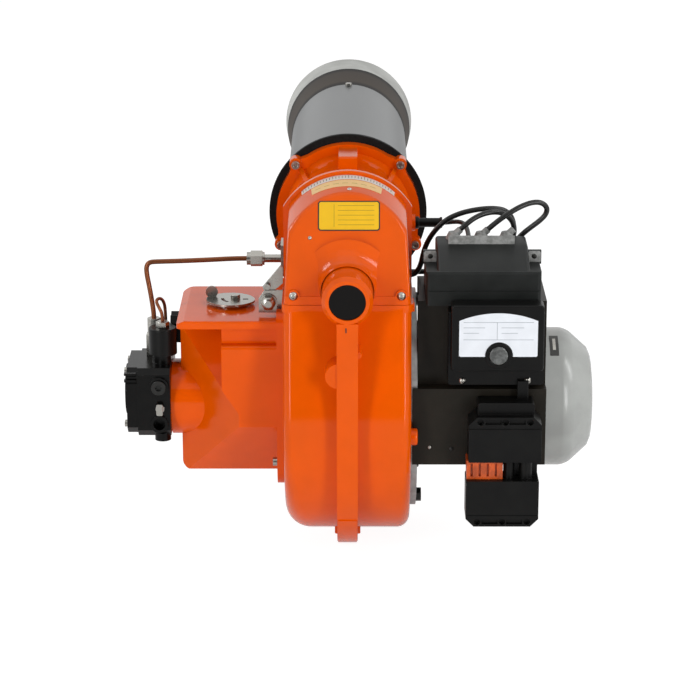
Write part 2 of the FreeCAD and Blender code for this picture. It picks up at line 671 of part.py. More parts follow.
def cover_screws():
    """Two domed screws that hold the cover's foot."""
    seat = cover_screw_seat() - 0.05
    return [dome_screw(COVER_SCREW_R, COVER_SCREW_HEAD_R, 3.4, (x, seat, COVER_SCREW_Z), (x, seat + 14, COVER_SCREW_Z))
            for x in (-COVER_SCREW_X, COVER_SCREW_X)]


def sight_glass():
    """Dark glass in the sight port."""
    front = PORT_Y + GLASS_DEPTH
    return rod(PORT_BORE_R - FIT, (0, front, 0), (0, front + GLASS_THICK, 0))


# Flange, gasket, tube and head

def flange_gasket():
    """Gasket between the flange and the boiler."""
    ring = pipe(GASKET_R, TUBE_R + 0.5, (0, FLANGE_BACK, 0), (0, 0, 0))
    holes = []
    for angle in EAR_ANGLES:
        x, z = ear_centre(angle)
        holes.append(rod(FLANGE_SHANK_R + FIT, (x, FLANGE_BACK - 1, z), (x, 1, z)))
    return ring.cut(holes)


def flange_screws():
    """Four socket screws through the flange's ears into the boiler."""
    screws = []
    for angle in EAR_ANGLES:
        x, z = ear_centre(angle)
        shoulder = cap_screw(FLANGE_SHANK_R, 4.4, 6.0, (x, FLANGE_FRONT - 2, z), (x, 0, z))
        screws.append(union(shoulder, rod(FLANGE_SCREW_R, (x, -1, z), (x, FLANGE_SCREW_END, z))))
    return screws


def blast_tube():
    """Rolled tube with a turned-in foot that is screwed to the flange."""
    inner = TUBE_R - TUBE_WALL
    shell = turned_y([(FLANGE_BACK, NECK_BORE), (FLANGE_BACK, TUBE_R), (TUBE_END, TUBE_R), (TUBE_END, inner),
                      (FLANGE_BACK + 3, inner), (FLANGE_BACK + 3, NECK_BORE)])
    return shell.cut(head_screw_holes())


def head_screw_lines():
    """Outward directions and the plane of the head's screws."""
    directions = []
    for degrees in (90, 210, 330):
        a = math.radians(degrees)
        directions.append(Vector(math.cos(a), 0, math.sin(a)))
    return directions, Vector(0, TUBE_END - 7, 0)


def head_screw_holes():
    """Holes for the head's screws."""
    directions, middle = head_screw_lines()
    return [rod(2.0 + THREAD_GAP, out * (TUBE_R + 2) + middle, out * (TUBE_R - 8) + middle) for out in directions]


def flame_head():
    """Flared head that slides into the tube's end."""
    wall = TUBE_WALL
    sleeve_r = TUBE_R - wall - FIT
    shell = turned_y([(TUBE_END - SLEEVE, sleeve_r - 1.5), (TUBE_END - SLEEVE, sleeve_r), (TUBE_END + 0.1, sleeve_r),
                      (TUBE_END + 0.1, TUBE_R), (HEAD_END, HEAD_MOUTH_R), (HEAD_END, HEAD_MOUTH_R - wall),
                      (TUBE_END + 2, sleeve_r - 1.5)])
    return shell.cut(head_screw_holes())


def head_end_ring():
    """Flared mouth ring with a rolled lip."""
    wall = TUBE_WALL
    lip = HEAD_MOUTH_R + (RING_MOUTH_R - HEAD_MOUTH_R) * 0.9
    inner = HEAD_MOUTH_R - wall
    return turned_y([(HEAD_END - 10, inner - FIT - 3.2), (HEAD_END - 10, inner - FIT - 1.7),
                     (HEAD_END + 0.1, inner - FIT), (HEAD_END + 0.1, HEAD_MOUTH_R), (RING_END - 6, lip),
                     (RING_END - 4, RING_MOUTH_R), (RING_END, RING_MOUTH_R), (RING_END, lip - wall),
                     (HEAD_END + 2, inner - 1.6)])


def head_screws():
    """Three screws that hold the head in the tube."""
    directions, middle = head_screw_lines()
    return [hex_bolt(2.0, 7.0, 3.2, out * (TUBE_R + 0.05) + middle, out * (TUBE_R - 6) + middle)
            for out in directions]


def nozzle_line():
    """Oil line from the side of the housing to the nozzle on the tube's axis."""
    bend = 16.0
    y = NOZZLE_ENTRY_Y
    start = Vector(LEFT + WALL + 1, y, 0)
    before = Vector(-bend, y, 0)
    after = Vector(0, y + bend, 0)
    end = Vector(0, NOZZLE_BLOCK_Y, 0)
    k = bend * (1 - math.sqrt(0.5))
    route = Part.Wire([Part.makeLine(start, before),
                       Part.Arc(before, Vector(-k, y + k, 0), after).toShape(),
                       Part.makeLine(after, end)])
    return swept(NOZZLE_LINE_R, route).cut(swept(NOZZLE_LINE_R - 2, route))


def swept(radius, route):
    """Round bar along a wire."""
    first = route.Edges[0]
    start = first.valueAt(first.FirstParameter)
    direction = first.tangentAt(first.FirstParameter)
    circle = Part.Wire(Part.makeCircle(radius, start, direction))
    return route.makePipeShell([circle], True, False)


def nozzle_block():
    """Holder on the line that carries the nozzle and clamps both electrodes."""
    y = NOZZLE_BLOCK_Y
    rise = NOZZLE_BLOCK_R + ELECTRODE_RISE
    barrel = rod(NOZZLE_BLOCK_R, (0, y + 0.1, 0), (0, y + 20, 0))
    post = box(-5, 5, y + 16, y + 20, 0, rise)
    clamp = box(-17, 17, y + 16, y + 20, rise - 6, rise + 7)
    body = union(barrel, post, clamp, hexagon(22, (0, y + 20, 0), (0, y + 30, 0)))
    return body.cut([rod(4.0, (0, y - 1, 0), (0, y + 31, 0)),
                     rod(4.5 + FIT, (-10, y + 15, rise), (-10, y + 21, rise)),
                     rod(4.5 + FIT, (10, y + 15, rise), (10, y + 21, rise))])


def oil_nozzle():
    """Spray nozzle at the end of the holder."""
    y = NOZZLE_BLOCK_Y + 30
    shape = union(rod(4.0 - FIT, (0, y - 12, 0), (0, y + 1, 0)), hexagon(16, (0, y + 0.1, 0), (0, y + 9, 0)),
                  taper(7, 4, (0, y + 9, 0), (0, y + 14, 0)))
    return shape.cut(taper(0.4, 2.2, (0, y + 11, 0), (0, y + 14.1, 0)))


def flame_disc():
    """Air disc with swirl slots, carried by three arms on the nozzle holder."""
    y = NOZZLE_BLOCK_Y + 40
    disc = pipe(DISC_R, 17, (0, y, 0), (0, y + 2, 0))
    slots = []
    for i in range(DISC_SLOTS):
        slot = box(24, DISC_R - 12, y - 1, y + 3, -1.6, 1.6)
        slot.rotate(Vector(27, y, 0), Vector(0, 1, 0), 14)
        slot.rotate(Vector(0, y, 0), Vector(0, 1, 0), 360.0 * i / DISC_SLOTS)
        slots.append(slot)
    slots += [rod(3.0, (a.x, y - 1, a.z), (a.x, y + 3, a.z)) for a, b in electrode_places()]
    hub_y = NOZZLE_BLOCK_Y + 3
    hub = pipe(NOZZLE_BLOCK_R + 3, NOZZLE_BLOCK_R + FIT, (0, hub_y, 0), (0, hub_y + 12, 0))
    arms = []
    for i in range(3):
        arm = prism_x([(hub_y + 2, NOZZLE_BLOCK_R + 1.5), (hub_y + 10, NOZZLE_BLOCK_R + 1.5), (y + 1, 21.5),
                       (y + 1, 27)], -2, 2)
        arm.rotate(Vector(0, 0, 0), Vector(0, 1, 0), 60 + 120 * i)
        arms.append(arm)
    return disc.cut(slots).fuse([hub] + arms)


def electrode_places():
    """Lines of the two electrodes, from rear end to front end."""
    y = NOZZLE_BLOCK_Y
    rise = NOZZLE_BLOCK_R + ELECTRODE_RISE
    return [(Vector(x, y - 48, rise), Vector(x, y + 36, rise)) for x in (-10.0, 10.0)]


def electrodes():
    """Two ceramic rods and the bent wires that leave them and end near the nozzle."""
    tips = [rod(4.5, a, b) for a, b in electrode_places()]
    for a, b in electrode_places():
        side = 1 if a.x > 0 else -1
        start = b + Vector(0, 0.05, 0)
        knee = b + Vector(0, 13, 0)
        end = Vector(side * 2.5, knee.y + 8, 9)
        straight = rod(1.2, start, knee)
        bent = rod(1.2, knee, end)
        tips.append(straight.fuse([bent, Part.makeSphere(1.2, knee)]).removeSplitter())
    return tips


def photocell():
    """Photocell barrel pushed into the neck from the right."""
    barrel = rod(CELL_R, (NECK_BORE - 4, CELL_Y, CELL_Z), (CELL_END - 2.5, CELL_Y, CELL_Z))
    collar = rod(CELL_R + 1.6, (NECK_R + 9.2, CELL_Y, CELL_Z), (NECK_R + 13, CELL_Y, CELL_Z))
    cap = rod(CELL_R + 1, (CELL_END - 2.5, CELL_Y, CELL_Z), (CELL_END, CELL_Y, CELL_Z))
    return union(barrel, collar, cap)


# Fan, motor and pump drive

def fan_wheel():
    """Forward-curved blower wheel: hub disc, curved blades and a segmented inlet rim."""
    inner_face = FAN_RIGHT - FAN_DISC
    rim_face = FAN_LEFT + FAN_DISC
    hub = rod(HUB_R, (FAN_RIGHT - HUB_LENGTH, FAN_Y, FAN_Z), (FAN_RIGHT - 1, FAN_Y, FAN_Z))
    disc = rod(FAN_R, (inner_face, FAN_Y, FAN_Z), (FAN_RIGHT, FAN_Y, FAN_Z)).fuse(hub)
    disc = disc.cut(rod(SHAFT_R + 0.02, (FAN_RIGHT - HUB_LENGTH - 1, FAN_Y, FAN_Z), (FAN_RIGHT + 1, FAN_Y, FAN_Z)))
    segment = Part.Face(Part.Wire([
        Part.Arc(Vector(FAN_LEFT, FAN_R, 0),
                 Vector(FAN_LEFT, FAN_R * math.cos(RIM_SHARE / 2), FAN_R * math.sin(RIM_SHARE / 2)),
                 Vector(FAN_LEFT, FAN_R * math.cos(RIM_SHARE), FAN_R * math.sin(RIM_SHARE))).toShape(),
        Part.makeLine(Vector(FAN_LEFT, FAN_R * math.cos(RIM_SHARE), FAN_R * math.sin(RIM_SHARE)),
                      Vector(FAN_LEFT, FAN_INNER_R * math.cos(RIM_SHARE), FAN_INNER_R * math.sin(RIM_SHARE))),
        Part.Arc(Vector(FAN_LEFT, FAN_INNER_R * math.cos(RIM_SHARE), FAN_INNER_R * math.sin(RIM_SHARE)),
                 Vector(FAN_LEFT, FAN_INNER_R * math.cos(RIM_SHARE / 2), FAN_INNER_R * math.sin(RIM_SHARE / 2)),
                 Vector(FAN_LEFT, FAN_INNER_R, 0)).toShape(),
        Part.makeLine(Vector(FAN_LEFT, FAN_INNER_R, 0), Vector(FAN_LEFT, FAN_R, 0)),
    ])).extrude(Vector(FAN_DISC, 0, 0))
    depth = FAN_R - FAN_INNER_R - 1.5
    mid_r = (FAN_R + FAN_INNER_R) / 2
    bow = 5.0
    outline = Part.Wire([
        Part.Arc(Vector(rim_face, mid_r - depth / 2, 0), Vector(rim_face, mid_r, bow),
                 Vector(rim_face, mid_r + depth / 2, 0)).toShape(),
        Part.makeLine(Vector(rim_face, mid_r + depth / 2, 0), Vector(rim_face, mid_r + depth / 2, -BLADE_THICK)),
        Part.Arc(Vector(rim_face, mid_r + depth / 2, -BLADE_THICK), Vector(rim_face, mid_r, bow - BLADE_THICK),
                 Vector(rim_face, mid_r - depth / 2, -BLADE_THICK)).toShape(),
        Part.makeLine(Vector(rim_face, mid_r - depth / 2, -BLADE_THICK), Vector(rim_face, mid_r - depth / 2, 0)),
    ])
    blade = Part.Face(outline).extrude(Vector(inner_face - rim_face, 0, 0))
    return [disc] + around_fan(segment, RIM_SEGMENTS) + around_fan(blade, FAN_BLADES)


def around_fan(piece, count):
    """Equal copies of a piece, turned round the fan's axis."""
    copies = []
    for i in range(count):
        copy = piece.copy()
        copy.rotate(Vector(0, 0, 0), Vector(1, 0, 0), 360.0 * i / count)
        copy.translate(Vector(0, FAN_Y, FAN_Z))
        copies.append(copy)
    return copies


def motor_shaft():
    """Stepped shaft of the motor, from the fan hub to the cooling fan."""
    points = [(FAN_RIGHT - HUB_LENGTH, 0), (FAN_RIGHT - HUB_LENGTH, SHAFT_R), (MOTOR_IN + 2, SHAFT_R), (MOTOR_IN + 2, SHAFT_R + 1),
              (ROTOR_LEFT, SHAFT_R + 1), (ROTOR_LEFT, ROTOR_R), (ROTOR_RIGHT, ROTOR_R),
              (ROTOR_RIGHT, SHAFT_R + 1), (MOTOR_END - 6, SHAFT_R + 1), (MOTOR_END - 6, SHAFT_R),
              (COWL_START + 22, SHAFT_R), (COWL_START + 22, 0)]
    return turned_x(points, FAN_AXIS)


def coupling():
    """Torsion rod between the fan hub and the pump's shaft."""
    left = PUMP_SHAFT_END - 14
    right = FAN_RIGHT - HUB_LENGTH - 0.3
    body = turned_x([(left, 0), (left, 9), (left + 22, 9), (left + 24, 6), (right - 16, 6), (right - 14, 9),
                     (right, 9), (right, 0)], FAN_AXIS)
    return body.cut(rod(PUMP_SHAFT_R + 0.02, (left - 1, FAN_Y, FAN_Z), (left + 14, FAN_Y, FAN_Z)))


def cooling_fan():
    """Small fan behind the motor, under the cowl."""
    x0 = COWL_START + 4
    disc = rod(20, (x0, FAN_Y, FAN_Z), (x0 + 14, FAN_Y, FAN_Z))
    blades = []
    for i in range(7):
        blade = box(x0 + 1, x0 + 16, FAN_Y - 1.2, FAN_Y + 1.2, FAN_Z + 17, FAN_Z + 52)
        blade.rotate(Vector(0, FAN_Y, FAN_Z), Vector(1, 0, 0), 360.0 * i / 7)
        blades.append(blade)
    plate = rod(50, (x0, FAN_Y, FAN_Z), (x0 + 2, FAN_Y, FAN_Z))
    return disc.fuse([plate] + blades).cut(rod(SHAFT_R + 0.02, (x0 - 1, FAN_Y, FAN_Z), (x0 + 17, FAN_Y, FAN_Z)))


def motor_flange():
    """Aluminium flange that closes the housing's right side and carries the motor."""
    x0 = RIGHT + 0.1
    x1 = x0 + MOTOR_FLANGE_THICK
    plate = turned_x([(x0 - 4, MOTOR_HOLE_R - 10), (x0 - 4, MOTOR_HOLE_R - 0.2), (x0, MOTOR_HOLE_R - 0.2),
                      (x0, MOTOR_FLANGE_R), (x1, MOTOR_FLANGE_R), (x1, 52), (MOTOR_IN - 0.1, 50),
                      (MOTOR_IN - 0.1, SHAFT_R + 0.05), (x0, SHAFT_R + 0.05), (x0, MOTOR_HOLE_R - 10)], FAN_AXIS)
    flat = box(x0 - 10, x1 + 10, -REACH - 10, MOTOR_FLANGE_FLAT, -400, 200)
    plate = plate.cut(flat)
    return plate.cut([rod(MOTOR_BOLT_R + FIT, (x0 - 1, y, z), (x1 + 1, y, z)) for y, z in motor_bolt_places()])


def motor_bolts():
    """Four black bolts through the motor flange into the housing."""
    seat = RIGHT + 0.1 + MOTOR_FLANGE_THICK
    return [hex_bolt(MOTOR_BOLT_R, 13, 5.5, (seat, y, z), (seat - 11, y, z)) for y, z in motor_bolt_places()]


def motor_frame():
    """Finned frame of the motor."""
    x0 = MOTOR_IN
    ring = pipe(MOTOR_R - 5, MOTOR_R - 10, (x0, FAN_Y, FAN_Z), (MOTOR_END, FAN_Y, FAN_Z))
    fins = []
    for i in range(30):
        fin = box(x0 + 6, MOTOR_END - 4, FAN_Y - 1.2, FAN_Y + 1.2, FAN_Z + MOTOR_R - 6, FAN_Z + MOTOR_R)
        fin.rotate(Vector(0, FAN_Y, FAN_Z), Vector(1, 0, 0), 12.0 * i)
        fins.append(fin)
    end = pipe(MOTOR_R - 5, SHAFT_R + 1.05, (MOTOR_END - 12, FAN_Y, FAN_Z), (MOTOR_END - 6, FAN_Y, FAN_Z))
    band = pipe(COWL_R - 1.7, MOTOR_R - 2, (MOTOR_END - 16, FAN_Y, FAN_Z), (MOTOR_END - 8, FAN_Y, FAN_Z))
    return ring.fuse(fins + [end, band]).cut(cowl_screw_holes())


def stator():
    """Wound core pressed into the motor frame."""
    core = pipe(MOTOR_R - 10.05, ROTOR_R + 0.5, (ROTOR_LEFT, FAN_Y, FAN_Z), (ROTOR_RIGHT, FAN_Y, FAN_Z))
    turns = [pipe(MOTOR_R - 14, ROTOR_R + 5, (a, FAN_Y, FAN_Z), (a + 13, FAN_Y, FAN_Z))
             for a in (ROTOR_LEFT - 12.5, ROTOR_RIGHT - 0.5)]
    return core.fuse(turns)


def motor_cowl():
    """Domed fan cowl with air slots in its end."""
    t = 1.6
    bevel = COWL_START + 20
    rim = COWL_R - COWL_BEVEL
    outer = [(COWL_START - 22, COWL_R), (bevel, COWL_R), (COWL_END - 4, rim), (COWL_END - 1, rim - 7),
             (COWL_END, rim - 15), (COWL_END, 0)]
    inner = [(COWL_END - t, 0), (COWL_END - t, rim - 15), (COWL_END - 1 - t, rim - 7.3),
             (COWL_END - 4 - t, rim - 1), (bevel - t * 0.5, COWL_R - t), (COWL_START - 22, COWL_R - t)]
    shell = turned_x(outer + inner, FAN_AXIS)
    slots = []
    for i in range(12):
        slot = box(COWL_END - 8, COWL_END + 2, FAN_Y - 2, FAN_Y + 2, FAN_Z + 16, FAN_Z + 33)
        slot.rotate(Vector(0, FAN_Y, FAN_Z), Vector(1, 0, 0), 30.0 * i)
        slots.append(slot)
    return shell.cut(slots + cowl_screw_holes())


def cowl_screw_lines():
    """Outward directions and the centre of the cowl's screws."""
    directions = []
    for degrees in (45, 135, 225, 315):
        a = math.radians(degrees)
        directions.append(Vector(0, math.cos(a), math.sin(a)))
    return directions, Vector(MOTOR_END - 12, FAN_Y, FAN_Z)


def cowl_screw_holes():
    """Holes for the cowl's screws."""
    directions, middle = cowl_screw_lines()
    return [rod(1.5 + THREAD_GAP, middle + out * (COWL_R + 1), middle + out * MOTOR_R) for out in directions]


def cowl_screws():
    """Four screws through the cowl into its ring."""
    directions, middle = cowl_screw_lines()
    return [dome_screw(1.5, 3.6, 2.2, middle + out * (COWL_R + 0.1), middle + out * (MOTOR_R + 1))
            for out in directions]


# Air box and damper

def box_outline(raised):
    """Side outline of the air box in (y, z); the raised one has the upright block in front."""
    back = -BOX_BACK
    front = -BOX_FRONT
    under_lid = BOX_TOP - LID_THICK + 2
    knee_y = front + 60
    upper = [(front + BLOCK_STEP, under_lid), (front + BLOCK_STEP, BLOCK_TOP), (front, BLOCK_TOP)]
    leaning = [(knee_y + 5, under_lid), (knee_y, BLOCK_TOP - 4)]
    prow = [(front, FAN_Z + 4), (front, FAN_Z - 9), (front + 55, BOX_BOTTOM), (back, BOX_BOTTOM)]
    return [(back, under_lid)] + (upper if raised else leaning) + prow


def box_form(inset):
    """Air box body without its lid, moved inwards by inset."""
    def profile(raised, x0, x1):
        face = polygon([(x0, y, z) for y, z in box_outline(raised)])
        if inset:
            face = face.makeOffset2D(-inset)
        return face.extrude(Vector(x1 - x0, 0, 0))

    over = 1.0 if inset else 0.0
    left = profile(False, BOX_LEFT + inset, BOX_RIGHT + over)
    right = profile(True, BLOCK_LEFT + inset, BOX_RIGHT + over)
    if not inset:
        left = rounded(left, 8.0, lambda c, e: abs(c.x - BOX_LEFT) < 0.1 and abs(c.z - BOX_BOTTOM) < 0.1)
        right = rounded(right, 4.0, lambda c, e: abs(c.y + BOX_FRONT) < 0.1 and abs(c.z - BLOCK_TOP) < 0.1)
    body = left.fuse(right).removeSplitter()
    corner_x = BLOCK_LEFT + BLOCK_CORNER
    shift = inset * math.sqrt(2)
    front = -BOX_FRONT
    reach = 90.0
    corner = prism_z([(corner_x + shift, front), (corner_x + shift - reach, front + reach),
                      (corner_x + shift - reach, front - 30), (corner_x + shift, front - 30)],
                     BOX_BOTTOM - 5, BOX_TOP - LID_THICK)
    low_x = corner_x + 0.5 + shift
    zone = prism_y([(BOX_LEFT - 30, BOX_TOP), (BLOCK_LEFT + inset, BOX_TOP), (BLOCK_LEFT + inset, FAN_Z + 30),
                    (low_x, FAN_Z + 4), (low_x, BOX_BOTTOM - 5), (BOX_LEFT - 30, BOX_BOTTOM - 5)],
                   front - 40, front + 100)
    return body.cut(corner.common(zone))


def air_box():
    """Cast intake box on the housing's left side, with the pump's boss and the damper's seat."""
    lid = box(BOX_LEFT, BOX_RIGHT + 1, -BOX_FRONT, -BOX_BACK, BOX_TOP - LID_THICK, BOX_TOP)
    lid = rounded(lid, 5.0, lambda c, e: e.BoundBox.ZLength > 7 and c.x < BOX_LEFT + 5 and c.y < FAN_Y)
    lid = rounded(lid, 14.0, lambda c, e: e.BoundBox.ZLength > 7 and c.x < BOX_LEFT + 5 and c.y > FAN_Y)
    lid = rounded(lid, 2.0, lambda c, e: e.BoundBox.ZLength < 0.01 and c.z > BOX_TOP - 1 and c.x < BOX_RIGHT)
    lid = lid.cut(prism_y([(BOX_LEFT - 1, BOX_TOP - 3.4), (BOX_LEFT + 7.5, BOX_TOP), (BOX_LEFT + 7.5, BOX_TOP + 1),
                           (BOX_LEFT - 1, BOX_TOP + 1)], -BOX_FRONT - 1, -BOX_BACK + 1))
    boss = rod(PUMP_BOSS_R, (PUMP_BOSS_LEFT, FAN_Y, FAN_Z), (BLOCK_LEFT, FAN_Y, FAN_Z))
    flange = box(BOX_RIGHT, LEFT - 0.1, -BOX_FRONT - 2, -BOX_BACK + 11, FLANGE_LOW, FLANGE_HIGH)
    flange = rounded(flange, 10.0, lambda c, e: e.BoundBox.XLength > 7 and (c.z > FAN_Z or c.y > FAN_Y))
    flange = rounded(flange, 30.0, lambda c, e: e.BoundBox.XLength > 7 and c.z < FLANGE_LOW + 1 and c.y < FAN_Y - 60)
    flange = flange.cut(box(BOX_RIGHT - 1, LEFT + 1, HINGE_Y - 4, HINGE_Y + 4, BOX_TOP + 1, FLANGE_HIGH + 1))
    seat = rod(11.0, (DAMPER_X, DAMPER_Y, BOX_TOP - 1), (DAMPER_X, DAMPER_Y, BOX_TOP + 3))
    body = box_form(0.0).fuse([lid, boss, flange, seat])
    inner = box_form(BOX_WALL)
    lid_well = box(BOX_LEFT + 8, BOX_RIGHT + 1, -BOX_BACK - 52, -BOX_BACK - BOX_WALL, BOX_TOP - LID_THICK - 2,
                   BOX_TOP - 4)
    mouth = box(INTAKE_X0, INTAKE_X1, -BOX_BACK - BOX_WALL - 1, -BOX_BACK + 1, INTAKE_Z0, INTAKE_Z1)
    mouth = rounded(mouth, 6.0, lambda c, e: e.BoundBox.YLength > 4)
    bore = rod(SPIGOT_R + FIT, (PUMP_BOSS_LEFT - 1, FAN_Y, FAN_Z), (BLOCK_LEFT + 1, FAN_Y, FAN_Z))
    eye = rod(INLET_R, (BOX_RIGHT - 1, FAN_Y, FAN_Z), (LEFT + 1, FAN_Y, FAN_Z))
    body = body.cut([inner, lid_well, mouth, bore, eye])
    frame_y = DAMPER_Y - 1.5
    shelf = box(BOX_LEFT + 2, BOX_RIGHT + 1, frame_y, -BOX_BACK - 2, SHELF_Z - 2.5, SHELF_Z)
    frame = box(BOX_LEFT + 2, BOX_RIGHT + 1, frame_y, frame_y + 3, SHELF_Z - 1, BOX_TOP - LID_THICK + 1)
    window = box(DAMPER_X - BLADE_REACH - 0.6, DAMPER_X + BLADE_REACH + 0.6, frame_y - 1, frame_y + 4,
                 BLADE_LOW - 0.6, BLADE_HIGH + 0.6)
    frame = frame.cut(window)
    boss_clear = rod(PUMP_BOSS_R - 2, (BOX_LEFT, FAN_Y, FAN_Z), (BOX_RIGHT + 2, FAN_Y, FAN_Z))
    baffles = shelf.fuse(frame).common(box_form(1.0)).cut(boss_clear)
    shaft_hole = rod(DAMPER_SHAFT_R + 0.05, (DAMPER_X, DAMPER_Y, SHELF_Z - 4), (DAMPER_X, DAMPER_Y, BOX_TOP + 4))
    body = body.fuse(baffles).cut([shaft_hole] + [
        rod(BOX_SCREW_R + FIT, (BOX_RIGHT - 1, y, z), (LEFT + 1, y, z)) for y, z in box_screw_places()])
    return body


def box_screw_places():
    """Centres of the air box screws in (y, z)."""
    low = FLANGE_LOW + 9
    high = FLANGE_HIGH - 9
    return [(-BOX_FRONT + 6, low + 20), (-BOX_BACK + 5.3, low), (-BOX_BACK + 5.3, high)]


def air_box_screws():
    """Screws through the air box flange into the housing."""
    return [cap_screw(BOX_SCREW_R, 4.2, 4.5, (BOX_RIGHT, y, z), (LEFT + 4, y, z)) for y, z in box_screw_places()]


def inlet_ring():
    """Bell-mouth between the air box and the fan."""
    r = INLET_R - FIT
    return turned_x([(BOX_RIGHT + 2, r - 5), (BOX_RIGHT + 2, r), (FAN_LEFT - 7, r), (FAN_LEFT - 2, r - 3),
                     (FAN_LEFT - 2, r - 4.5), (FAN_LEFT - 8, r - 2), (BOX_RIGHT + 6, r - 2)], FAN_AXIS)


def damper_shaft():
    """Upright shaft of the air damper, with a flat for the blade."""
    bar = rod(DAMPER_SHAFT_R, (DAMPER_X, DAMPER_Y, SHELF_Z - 2), (DAMPER_X, DAMPER_Y, LEVER_Z + LEVER_THICK))
    flat = box(DAMPER_X - 5, DAMPER_X + 5, DAMPER_Y - 5, DAMPER_Y + 0.8, BLADE_LOW, BLADE_HIGH)
    return bar.cut(flat)


def damper_blade():
    """Flat damper blade."""
    return box(DAMPER_X - BLADE_REACH, DAMPER_X + BLADE_REACH, DAMPER_Y - 0.7, DAMPER_Y + 0.8, BLADE_LOW + 0.1,
               BLADE_HIGH - 0.1)


def damper_lever():
    """Leaf-shaped lever with a curved slot and an upright thumb tab."""
    x, y, z = DAMPER_X, DAMPER_Y, LEVER_Z
    tip = Vector(x + 19.5, y - 6, z)
    far = Vector(x - 29.5, y + 4, z)
    leaf = Part.Wire([Part.Arc(far, Vector(x - 2, y + 22, z), tip).toShape(),
                      Part.Arc(tip, Vector(x - 8, y - 24, z), far).toShape()])
    plate = Part.Face(leaf).extrude(Vector(0, 0, LEVER_THICK))
    slot = pipe(14.6, 11.4, (x, y, z - 1), (x, y, z + LEVER_THICK + 1)).common(
        prism_z([(x, y), (x - 40, y + 6), (x - 22, y - 34)], z - 1, z + LEVER_THICK + 1))
    short = box(x + 7.5, x + 13, y - 3, y + 0.5, z - 1, z + LEVER_THICK + 1)
    tab_x = x - 24.5
    tab_y = y + 8
    tab = rod(6.2, (tab_x, tab_y, z + 7), (tab_x, tab_y + LEVER_THICK, z + 7))
    stem = box(tab_x - 4, tab_x + 4, tab_y, tab_y + LEVER_THICK, z + 0.5, z + 6)
    hole = rod(DAMPER_SHAFT_R + 0.05, (x, y, z - 1), (x, y, z + LEVER_THICK + 1))
    return plate.fuse([tab, stem]).cut([slot, short, hole])


def damper_screw():
    """Domed screw that clamps the lever on its shaft."""
    top = LEVER_Z + LEVER_THICK
    return rounded(hexagon(8.5, (DAMPER_X, DAMPER_Y, top + 0.05), (DAMPER_X, DAMPER_Y, top + 4.5)), 0.8,
                   lambda c, e: c.z > top + 4.4)


# Oil pump and pipes

def pump_body():
    """Cast pump housing with its spigot, ports and solenoid seat."""
    x0, x1 = PUMP_SPLIT, PUMP_BOSS_LEFT - 0.1
    body = prism_x([(PUMP_FRONT + 8, PUMP_LOW), (PUMP_FRONT, PUMP_LOW + 8), (PUMP_FRONT, PUMP_HIGH - 6),
                    (PUMP_FRONT + 6, PUMP_HIGH), (PUMP_REAR - 10, PUMP_HIGH), (PUMP_REAR, PUMP_HIGH - 10),
                    (PUMP_REAR, PUMP_LOW + 12), (PUMP_REAR - 12, PUMP_LOW)], x0, x1)
    spigot = rod(SPIGOT_R, (x1 - 1, FAN_Y, FAN_Z), (PUMP_BOSS_LEFT + 4.5, FAN_Y, FAN_Z))
    seat = rod(11.0, (COIL_X, COIL_Y, PUMP_HIGH - 12), (COIL_X, COIL_Y, COIL_LOW - 0.1))
    seat = seat.cut(box(x1, x1 + 20, COIL_Y - 20, COIL_Y + 20, PUMP_HIGH - 20, COIL_LOW + 20))
    ports = [rod(r, (PORT_X, PUMP_FRONT + 2, z), (PORT_X, PUMP_FRONT - 3, z))
             for z, r in ((PORT_HIGH, 10.3), (PORT_LOW, 9.0))]
    foot = rod(8.2, (PUMP_FOOT_X, PUMP_FRONT + 12, PUMP_LOW + 3), (PUMP_FOOT_X, PUMP_FRONT + 12, PUMP_FOOT_LOW))
    bulge = rod(9.5, (x0 + 1, PUMP_FRONT + 12, PORT_HIGH + 1), (x0 + 12, PUMP_FRONT + 12, PORT_HIGH + 1))
    body = body.fuse([spigot, seat, foot, bulge] + ports)
    holes = [rod(PUMP_SHAFT_R + 0.05, (x0 - 1, FAN_Y, FAN_Z), (x1 + 12, FAN_Y, FAN_Z)),
             rod(COIL_STEM_R + FIT, (COIL_X, COIL_Y, PUMP_HIGH - 6), (COIL_X, COIL_Y, COIL_LOW + 1))]
    bottom = PUMP_FRONT - 3 + PORT_THREAD_DEPTH
    holes += [rod(PORT_THREAD_R, (PORT_X, PUMP_FRONT - 4, z), (PORT_X, bottom, z)) for z in (PORT_HIGH, PORT_LOW)]
    holes.append(rod(PORT_THREAD_R, (PUMP_FOOT_X, PUMP_FRONT + 12, PUMP_FOOT_LOW - 1),
                     (PUMP_FOOT_X, PUMP_FRONT + 12, PUMP_FOOT_LOW + PORT_THREAD_DEPTH)))
    return body.cut(holes)


